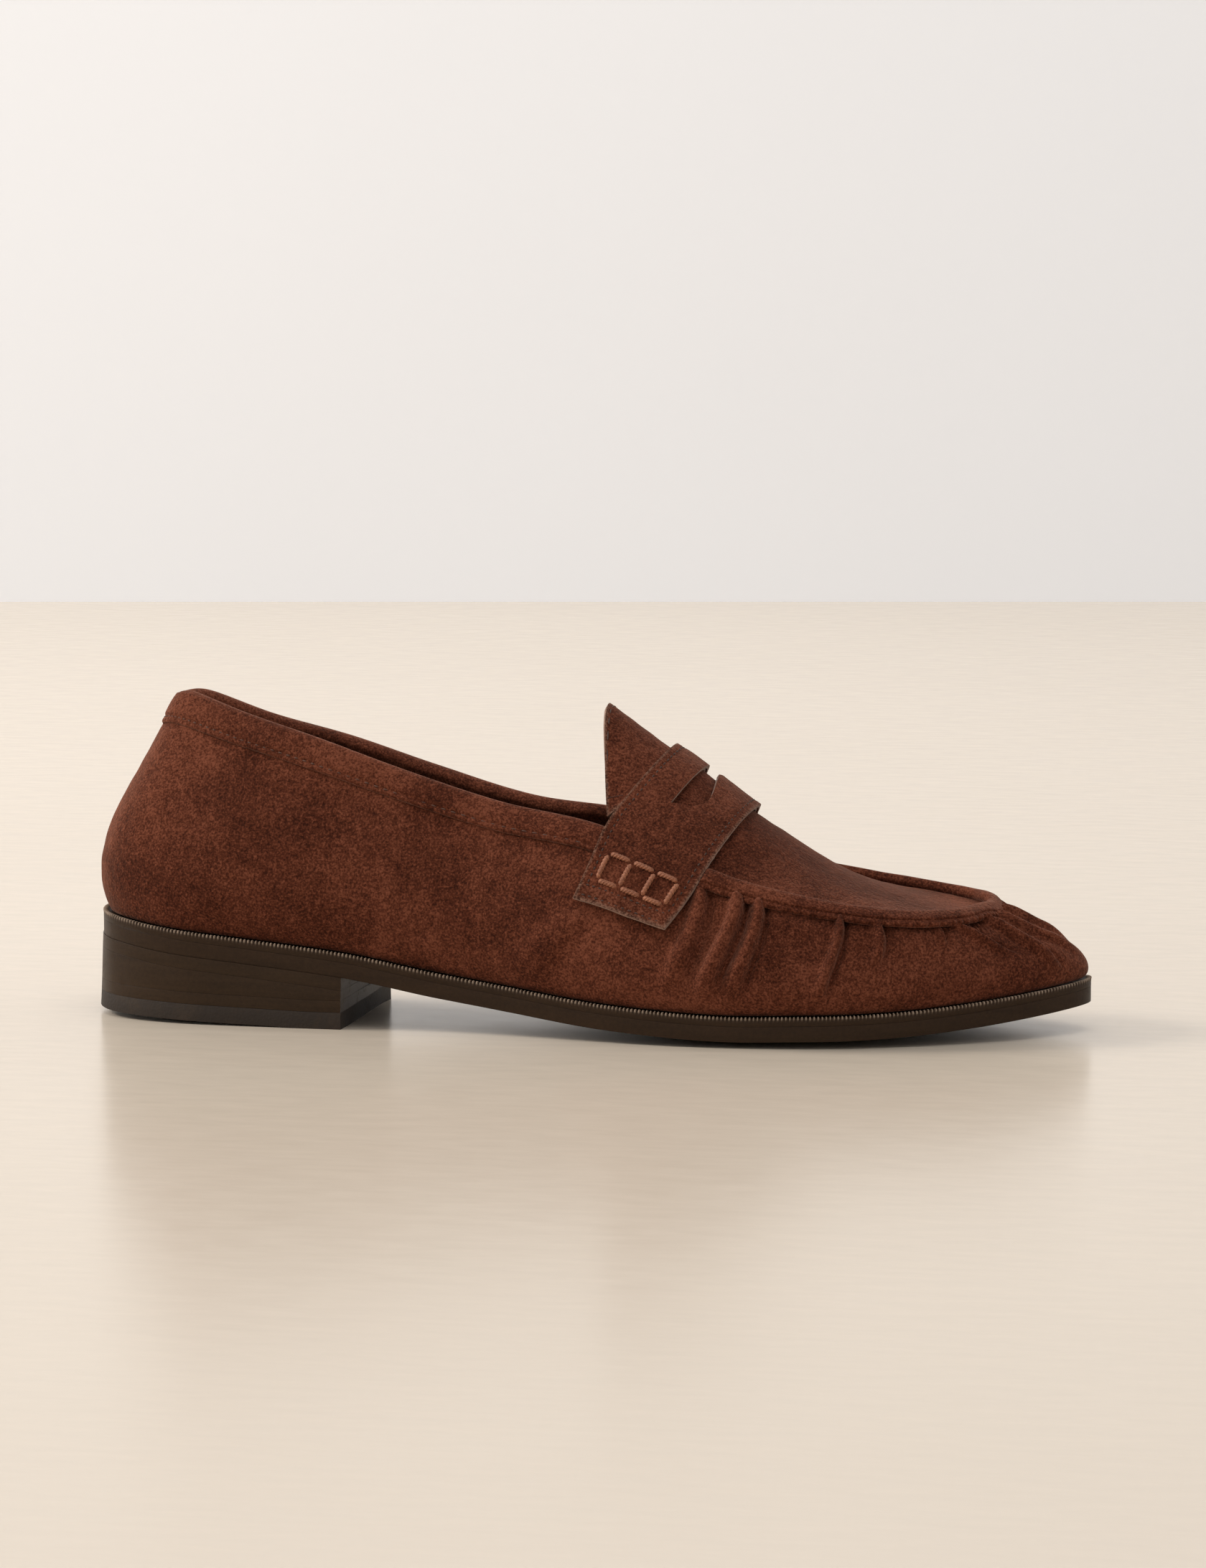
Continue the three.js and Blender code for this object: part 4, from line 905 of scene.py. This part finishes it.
def apron_sheet(depth, inset, rows, columns):
    """Face of the apron and tongue in one: rows from the tongue's free end over its root to the tip of the
    apron."""
    v = np.linspace(0, 1, columns)
    t = np.linspace(1 - inset, 0.04, rows[0])[:, None]
    edge = inset * 0.6
    held = mix(edge, 1 - edge, v)
    back = tongue_point(t, held)
    s = np.linspace(apron_back + 0.03, apron_tip, rows[1])[:, None]
    half = np.linalg.norm(top_edge(s) - top_edge(around - s), axis=-1) / 2
    margin = apron_margin(s) + inset * 20 / (2 * half)
    fore = instep_point(s, mix(margin, 1 - margin, v))
    sheet = np.concatenate([back, fore], axis=0)
    for _ in range(6):
        middle = (sheet[:-2] + 2 * sheet[1:-1] + sheet[2:]) / 4
        near = bell(np.arange(1, len(sheet) - 1) - rows[0], 6)[:, None, None]
        sheet[1:-1] = mix(sheet[1:-1], middle, near)
    along, across = np.gradient(sheet, axis=0), np.gradient(sheet, axis=1)
    normal = unit(np.cross(along, across))
    return sheet - normal * depth, normal


def apron_piece(name, depth, inset, rows, columns, finishes, relief, thickness, nodes):
    """The sheet as a mesh with its relief, thickness and raw edge."""
    sheet, normal = apron_sheet(depth, inset, rows, columns)
    sheet = sheet + normal * relief(sheet)[..., None]
    across = np.linspace(0, 1, columns)
    width = np.linalg.norm(np.diff(sheet, axis=1), axis=-1).sum(-1)[:, None]
    from_end = np.linalg.norm(sheet - sheet[:1], axis=-1)
    rubbed = 0.8 * bell(np.minimum(np.minimum(across, 1 - across) * width, from_end), 0.9)
    faces = quads_over(sheet.shape).tolist()
    piece = mesh_piece(name, sheet.reshape(-1, 3), faces, finishes, body=None, wear=rubbed)
    cut_edge(piece, thickness)
    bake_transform(piece)
    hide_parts(*nodes)


def apron_relief(p):
    """Soft waves of the suede over the apron and the tongue."""
    return 0.16 * waves(p, 22, 31) + 0.04 * waves(p, 6, 32)


apron_piece("apron_tongue_suede", 0.0, 0.0, (44, 190), 84, [suede_brown, suede_edge],
            apron_relief, upper_thickness, ("apron", "tongue"))
apron_piece("apron_tongue_lining", upper_thickness + glue_line, 0.06, (30, 120), 50,
            [lining_brown, lining_brown], lambda p: np.zeros(p.shape[:-1]),
            lining_thickness, ("apron_lining", "tongue_lining"))


# ---------- piping ----------

strap_front = 6.9215
piping_reach, piping_thickness = (2.3, 3.6), 3.2


def apron_piping():
    """Rings of a folded strip round the seam: a flattened oval that stands on the top edge and hangs over
    the side. A row of stitches pinches it near its lower edge, and below them its lip is gathered in small
    waves."""
    start = strap_front - 0.22
    i = np.linspace(start, around - start, 760)[:, None]
    s = np.minimum(i, around - i)
    middle = top_edge(i)
    along = unit(top_edge(i + 0.05) - top_edge(i - 0.05))
    up = grid_normal(instep_point, np.minimum(s, toe - 0.4), np.where(i < toe, 0.0, 1.0))
    proud = unit(1.15 * side_frame(i, np.ones(i.shape))[1] + up)
    across = unit(np.cross(along, proud))
    turn = np.linspace(-np.pi, np.pi, 45)[:-1]
    gathering = np.cos(tau * i * 6.4 + 1.3 * np.sin(i * 7))
    gathering = gathering + 0.5 * np.cos(tau * i * 9.7 + 2 * np.sin(i * 4))
    swell = (1 - 0.24 * bell(turn - 0.66, 0.15) + (0.05 + 0.075 * gathering) * bell(turn - 0.16, 0.34)
             + 0.03 * waves(middle, 9, 41))
    out_of_strap = smooth_step(strap_front - 0.14, strap_front - 0.02, s)
    high = piping_thickness / 2 * mix(0.2, 1, out_of_strap)
    x = np.where(np.cos(turn) > 0, piping_reach[1], piping_reach[0]) * np.cos(turn) * swell
    z = high * np.sign(np.sin(turn)) * np.abs(np.sin(turn)) ** 0.75 * swell
    lift = high - 0.5
    return middle + proud * (lift + z)[..., None] + across * x[..., None]


piping = tube_piece("apron_piping_suede", apron_piping(), [suede_brown])
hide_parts("apron_piping")


# ---------- strap ----------

strap_width, strap_drop, strap_spread, strap_rows = (29, 27.5), (20, 17.5), 1.18, 40
slot_half_length, slot_width, slot_rear = 22, 6.9, 10.4
strap_lift = bedding + glue_line
strap_thickness, backing_thickness = 1.2, 0.6
strap_face = strap_lift + backing_thickness + glue_line


def evenly(line, count):
    """The line's points spaced evenly along it."""
    reach = np.concatenate([[0], np.cumsum(np.linalg.norm(np.diff(line, axis=0), axis=1))])
    wanted = np.linspace(0, reach[-1], count + 1)
    return np.stack([np.interp(wanted, reach, line[:, k]) for k in range(3)], axis=-1)


def strap_line(w):
    """Line across the strap's w from its lateral end, up the side, over the instep and down to its medial
    end."""
    span = strap_front - strap_rear
    foot_span = span * strap_width[0] / strap_width[1] / strap_spread
    drop = mix(*strap_drop, w)
    k = np.arange(24)
    girth = strap_rear + w * mix(foot_span, span, 0.35 * k / 24)
    lateral, medial = (side_point(i, below(i, drop * (1 - k / 24))) for i in (girth, around - girth))
    a = np.arange(49) / 48
    over = instep_point(strap_rear + w * mix(foot_span, span, 1 - 0.65 * np.abs(2 * a - 1)), a)
    line = evenly(np.concatenate([lateral, over, medial[::-1]]), strap_rows)
    for _ in range(5):
        line[1:-1] = (line[:-2] + 2 * line[1:-1] + line[2:]) / 4
    return evenly(line, strap_rows)


def resampled(points, count):
    """A grid's first axis resampled to count points by cubic Hermite through its rows."""
    place = np.linspace(0, len(points) - 1, count)
    k = np.minimum(np.floor(place).astype(int), len(points) - 2)
    u = (place - k).reshape((-1,) + (1,) * (points.ndim - 1))
    slope = np.gradient(points, axis=0)
    return (points[k] * (1 + 2 * u) * (1 - u) ** 2 + slope[k] * u * (1 - u) ** 2
            + points[k + 1] * u * u * (3 - 2 * u) + slope[k + 1] * u * u * (u - 1))


coarse = np.stack([strap_line(k / 5) for k in range(6)])
strap_grid = resampled(resampled(coarse, 61).swapaxes(0, 1), 321).swapaxes(0, 1)
strap_length = float(np.linalg.norm(np.diff(coarse[2], axis=0), axis=1).sum())


def strap_point(w, g):
    """Point under the strap: w from its rear (0) to its front edge (1), g from its lateral to its medial
    end."""
    w, g = np.broadcast_arrays(w, g)
    c, r = np.clip(w, 0, 1) * 60, np.clip(g, 0, 1) * 320
    i, j = np.minimum(c.astype(int), 59), np.minimum(r.astype(int), 319)
    u, t = (c - i)[..., None], (r - j)[..., None]
    behind, before = (mix(strap_grid[row, j], strap_grid[row, j + 1], t) for row in (i, i + 1))
    return mix(behind, before, u)


def strap_normal(w, g):
    """Outward unit vector of the strap, from the cross product of its two directions."""
    across = strap_point(w + 0.06, g) - strap_point(w - 0.06, g)
    along = strap_point(w, g + 0.03) - strap_point(w, g - 0.03)
    return unit(np.cross(across, along))


def strap_offset(w, g, offset):
    """Point over the strap at a distance along its normal."""
    return strap_point(w, g) + strap_normal(w, g) * np.asarray(offset)[..., None]


slot_share = through([[0, 0.55], [0.25, 0.71], [0.52, 0.93], [0.7, 1], [0.82, 0.87], [0.92, 0.6],
                      [1, 0.05]])
slot_half = slot_half_length / strap_length


def slotted_sheet(height, inset):
    """Two panels of the strap's face, behind and before the slot, which meet where there is no slot. inset
    pulls the outline in and opens the slot by that many millimetres. Returns vertices, faces and (w, g) of
    each vertex."""
    ends = inset / strap_length
    g = np.concatenate([np.linspace(ends, 1 - ends, 231), [0.5 - slot_half, 0.5 + slot_half]])
    g = np.unique(g)[:, None]
    across = np.abs(g - 0.5) / slot_half
    inside = across < 1
    rear_edge = (slot_rear - inset * inside) / strap_width[1]
    slot_front = slot_rear + slot_width * slot_share(across) + inset
    front_edge = np.where(inside, slot_front, slot_rear) / strap_width[1]
    low, high = inset / strap_width[1], 1 - inset / strap_width[1]
    rear = mix(low, rear_edge, np.linspace(0, 1, 24))
    fore = mix(front_edge, high, np.linspace(0, 1, 36))
    w = np.concatenate([rear.ravel(), fore.ravel()])
    g_all = np.concatenate([(g + 0 * rear).ravel(), (g + 0 * fore).ravel()])
    quads = np.concatenate([quads_over(rear.shape), quads_over(fore.shape, start=rear.size)])[:, ::-1]
    return strap_offset(w, g_all, height(w, g_all)), quads.tolist(), w, g_all


def edge_distance(w, g):
    """Distances in millimetres from the strap's long edges and from its ends."""
    sides = np.minimum(w, 1 - w) * strap_width[1]
    ends = np.minimum(g, 1 - g) * strap_length
    return sides, ends


def strap_height(w, g):
    """Height of the strap's face: soft waves, less a shallow groove under each row of stitches."""
    sides, ends = edge_distance(w, g)
    p = strap_point(w, g)
    groove = 0.16 * bell(sides - 2.2, 0.5) + 0.12 * bell(ends - 1.6, 0.5) + 0.12 * bell(ends - 4.4, 0.5)
    return strap_face + strap_thickness + 0.10 * waves(p, 16, 51) + 0.03 * waves(p, 3.5, 52) - groove


vertices, faces, strap_w, strap_g = slotted_sheet(strap_height, 0.0)
sides, ends = edge_distance(strap_w, strap_g)
rubbed = 0.24 * (1 - smooth_step(4.2, 5.4, ends)) + 0.75 * bell(np.minimum(sides, ends), 0.8)
strap = mesh_piece("saddle_strap_suede", vertices, faces, [suede_brown, suede_edge], wear=rubbed)
cut_edge(strap, strap_thickness)
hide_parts("saddle_strap")
vertices, faces, _, _ = slotted_sheet(lambda w, g: strap_lift + backing_thickness + 0 * w, 0.25)
backing = mesh_piece("strap_backing_leather", vertices, faces, [lining_brown, suede_edge])
cut_edge(backing, backing_thickness, 0.1)
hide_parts("strap_backing")


# ---------- threads ----------

def threads(name, starts, ends, normals, radius, arch, finish, sides=8, rings=9, strands=0, turns=0.0,
            body="shoe"):
    """Short threads laid on a surface, one from each start to its end: tubes whose middle stands off by arch
    and whose ends sink in and narrow. strands make it a twisted cord: its section is a circle with that many
    lobes, which turn along it."""
    t = np.linspace(0, 1, rings)
    run = mix(starts[:, None], ends[:, None], t[:, None])
    lift = arch * (1 - (2 * t - 1) ** 4) - radius * 0.7
    centre = run + normals[:, None] * lift[:, None]
    along = unit(ends - starts)
    side = unit(np.cross(normals, along))
    round_ends = np.sqrt(np.maximum(1 - (2 * t - 1) ** 10, 0.04))
    angle = np.linspace(0, tau, sides + 1)[:-1]
    lobes = 1 + (0.2 * np.cos(strands * (angle + tau * turns * t[:, None])) if strands else 0 * t[:, None])
    r = radius * round_ends[:, None] * lobes
    tubes = (centre[:, :, None] + side[:, None, None] * (r * np.cos(angle))[..., None]
             + normals[:, None, None] * (r * np.sin(angle))[..., None])
    count = len(starts)
    one = quads_over((rings, sides), False, True)
    caps = [list(range(sides)), list(range((rings - 1) * sides, rings * sides))]
    size = rings * sides
    faces = (one[None] + np.arange(count)[:, None, None] * size).reshape(-1, 4).tolist()
    faces += [[n * size + k for k in cap] for n in range(count) for cap in caps]
    piece = mesh_piece(name, tubes.reshape(-1, 3), faces, [finish], body)
    turn_outwards(piece.data)
    return piece


def stitch_row(point, normal, pitch, gap):
    """Starts, ends and normals of a row of stitches along the line point(u), u from 0 to 1. gap is the share
    of the pitch between two stitches."""
    length = float(np.linalg.norm(np.diff(point(np.linspace(0, 1, 200)), axis=0), axis=1).sum())
    count = int(length / pitch)
    u0 = np.arange(count) / count
    u1 = u0 + (1 - gap) / count
    return point(u0), point(u1), normal((u0 + u1) / 2)


# A ladder of thread at each end of the strap: four bars across it and a rail in three lengths on either side.
ladder_length, ladder_height, ladder_margin = 20, 7.6, 6.2
for end_name, flip in (("lateral", False), ("medial", True)):
    first = (strap_width[0] - ladder_length) / 2
    along_w = first + np.linspace(0, ladder_length, 4)
    gap = 0.45
    bars = [(w, ladder_margin + gap, w, ladder_margin + ladder_height - gap) for w in along_w]
    for low_w, high_w in zip(along_w[:-1], along_w[1:]):
        bars += [(low_w + gap, g, high_w - gap, g) for g in (ladder_margin, ladder_margin + ladder_height)]
    bars = np.array(bars)
    w0, w1 = bars[:, 0] / strap_width[0], bars[:, 2] / strap_width[0]
    g0, g1 = bars[:, 1] / strap_length, bars[:, 3] / strap_length
    if flip:
        g0, g1 = 1 - g0, 1 - g1
    seat = np.full(len(bars), strap_face + strap_thickness)
    normals = strap_normal((w0 + w1) / 2, (g0 + g1) / 2)
    starts, stops = strap_offset(w0, g0, seat), strap_offset(w1, g1, seat)
    ladder = threads("ladder_thread_" + end_name, starts, stops, normals, 0.62, 0.85, thread_tan,
                     18, 41, 3, 2.2)
    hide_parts("ladder_stitch_" + end_name)


def strap_row(w_ends, g_ends, pitch, gap):
    """A row of stitches sunk in the strap's face, straight in (w, g) between two places."""
    def place(u):
        return mix(*w_ends, u), mix(*g_ends, u)

    def line(u):
        return strap_offset(*place(u), np.full(np.shape(u), strap_face + strap_thickness - 0.12))
    return stitch_row(line, lambda u: strap_normal(*place(u)), pitch, gap)


side_inset, side_from_end = 2.2 / strap_width[1], 5.0 / strap_length
side_run = (side_from_end, 1 - side_from_end)
rows = [strap_row((w, w), side_run, 1.9, 0.45) for w in (side_inset, 1 - side_inset)]
for end_inset in (1.6 / strap_length, 4.4 / strap_length):
    rows += [strap_row((0.07, 0.93), (g, g), 1.8, 0.4) for g in (end_inset, 1 - end_inset)]
all_stitches = [np.concatenate(part) for part in zip(*rows)]
threads("strap_stitches", *all_stitches, 0.19, 0.16, thread_dark, 6, 5)


def band_line(u):
    """Line of the topline stitches, a fifth of the band's width above its lower edge."""
    i = mix(-strap_rear + 0.1, strap_rear - 0.1, u)
    width = mix(*band_width, np.minimum(1, np.abs(i) / strap_rear))
    return side_offset(i, below(i, 0.80 * width), np.full(np.shape(u), glue_line + 0.62))


def band_normal(u):
    """Outward unit vector of the side at the topline's stitches."""
    i = mix(-strap_rear + 0.1, strap_rear - 0.1, u)
    return side_frame(i, np.full(np.shape(u), 0.9))[1]


threads("topline_stitches", *stitch_row(band_line, band_normal, 2.4, 0.5), 0.17, 0.12, thread_brown, 6, 5)


tongue_seam, tongue_rise = 1.9, 30
stitched_end = 1 - tongue_seam / tongue_rise


def tongue_line(u):
    """Line of the tongue's stitches: up its lateral edge, along its free end and down its medial edge."""
    u = np.asarray(u, float) * 3
    edge = tongue_seam / (2 * tongue_half_width)
    t = mix(0.30, stitched_end, np.clip(np.minimum(u, 3 - u), 0, 1))
    v = mix(edge, 1 - edge, np.clip(u - 1, 0, 1))
    return tongue_point(t, v)


def tongue_normal(u):
    """Outward unit vector of the tongue at its stitches."""
    u = np.asarray(u, float)
    t, v = np.full(u.shape, 0.6), np.clip(u * 3 - 1, 0.05, 0.95)
    return grid_normal(tongue_point, t, v)


threads("tongue_stitches", *stitch_row(tongue_line, tongue_normal, 2.0, 0.45), 0.18, 0.1, thread_dark, 6, 5,
        body="tongue")


# ---------- what stays as packed ----------

packed_finishes = {
    "bottom_filler": ("cork", cork_filler), "tuck_board": ("leatherboard", leatherboard),
    "insole": ("leatherboard", leatherboard), "shank": ("steel", steel), "heel_screw": ("steel", steel),
    "heel_pad": ("foam", foam_cream), "heel_counter": ("stiffener", stiffener_cloth),
    "toe_puff": ("stiffener", stiffener_cloth),
}
packed_finishes.update({f"shank_rivet_{k}": ("steel", steel) for k in (1, 2)})
packed_finishes.update({f"heel_nail_{k}": ("nail_brass", nail_brass) for k in range(1, 6)})
for node, (record_slot, finish) in packed_finishes.items():
    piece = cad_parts[node]
    piece.data.materials.clear()
    piece.data.materials.append(finish)


# ---------- floor, backdrop and light ----------

def plane(name, corners, finish):
    """A flat four-cornered piece of the stage."""
    mesh = bpy.data.meshes.new(name)
    mesh.from_pydata([tuple(c) for c in corners], [], [(0, 1, 2, 3)])
    mesh.materials.append(finish)
    piece = bpy.data.objects.new(name, mesh)
    bpy.context.scene.collection.objects.link(piece)
    return piece


def floor_finish():
    """Glossy stone floor: clouds and a fine drawn-out grain."""
    f = Finish("floor_beige")
    clouds = f.noise(260, 3)
    grain = f.noise(6, 4, 0.6, 0.0, f.stretched(0.35, 1.0, 1.0))
    colour = f.colours(clouds * 0.6 + grain * 0.4, (0.735, 0.635, 0.517), (0.80, 0.70, 0.578))
    return f.shade(Base_Color=colour, Roughness=grain * 0.12 + 0.17, Specular_IOR_Level=0.5)


def wall_finish():
    """Matt pale wall with faint clouds."""
    f = Finish("backdrop_white")
    colour = f.colours(f.noise(300, 2), (0.86, 0.875, 0.91), (0.88, 0.895, 0.93))
    return f.shade(Base_Color=colour, Roughness=0.9)


sight = Vector(camera_look)
level_sight = Vector((sight.x, sight.y, 0)).normalized()
wall_distance = 3.015
foot = Vector(to_part(camera_place)) + level_sight * wall_distance
foot.z = 0
aside = Vector((level_sight.y, -level_sight.x, 0))
left, right = foot - aside * 6, foot + aside * 6
rise, towards_camera = Vector((0, 0, 5)), level_sight * 9
plane("floor", [left, right, right - towards_camera, left - towards_camera], floor_finish())
plane("backdrop", [left, right, right + rise, left + rise], wall_finish())


def softbox(name, place, aim, size, power, colour=(1, 1, 1)):
    """A rectangular lamp at a place, turned to its aim."""
    light = bpy.data.lights.new(name, "AREA")
    light.shape, light.size, light.size_y = "RECTANGLE", size[0], size[1]
    light.energy, light.color = power, colour
    holder = bpy.data.objects.new(name, light)
    bpy.context.scene.collection.objects.link(holder)
    holder.location = place
    holder.rotation_mode = "QUATERNION"
    holder.rotation_quaternion = (Vector(aim) - Vector(place)).to_track_quat("-Z", "Y")


softbox("key", (-2.4, -0.25, 1.5), (0, 0, 0.03), (0.8, 0.8), 47, (1.0, 0.94, 0.87))
softbox("front", (-0.2, -2.2, 1.0), (0, 0, 0.03), (1.8, 1.0), 2, (1.0, 0.98, 0.96))
softbox("foreground", (0.3, -0.9, 2.3), (0.1, -0.7, 0), (1.6, 1.0), 11, (1.0, 0.98, 0.96))
softbox("backdrop_wash", (0.2, 0.3, 1.9), (0.2, 2.4, 0.9), (3.2, 0.6), 14)
world = bpy.data.worlds.new("studio")
world.use_nodes = True
world.node_tree.nodes["Background"].inputs["Color"].default_value = (1.0, 0.99, 0.98, 1)
world.node_tree.nodes["Background"].inputs["Strength"].default_value = 0.47
bpy.context.scene.world = world
bpy.context.scene.view_settings.view_transform = "Standard"
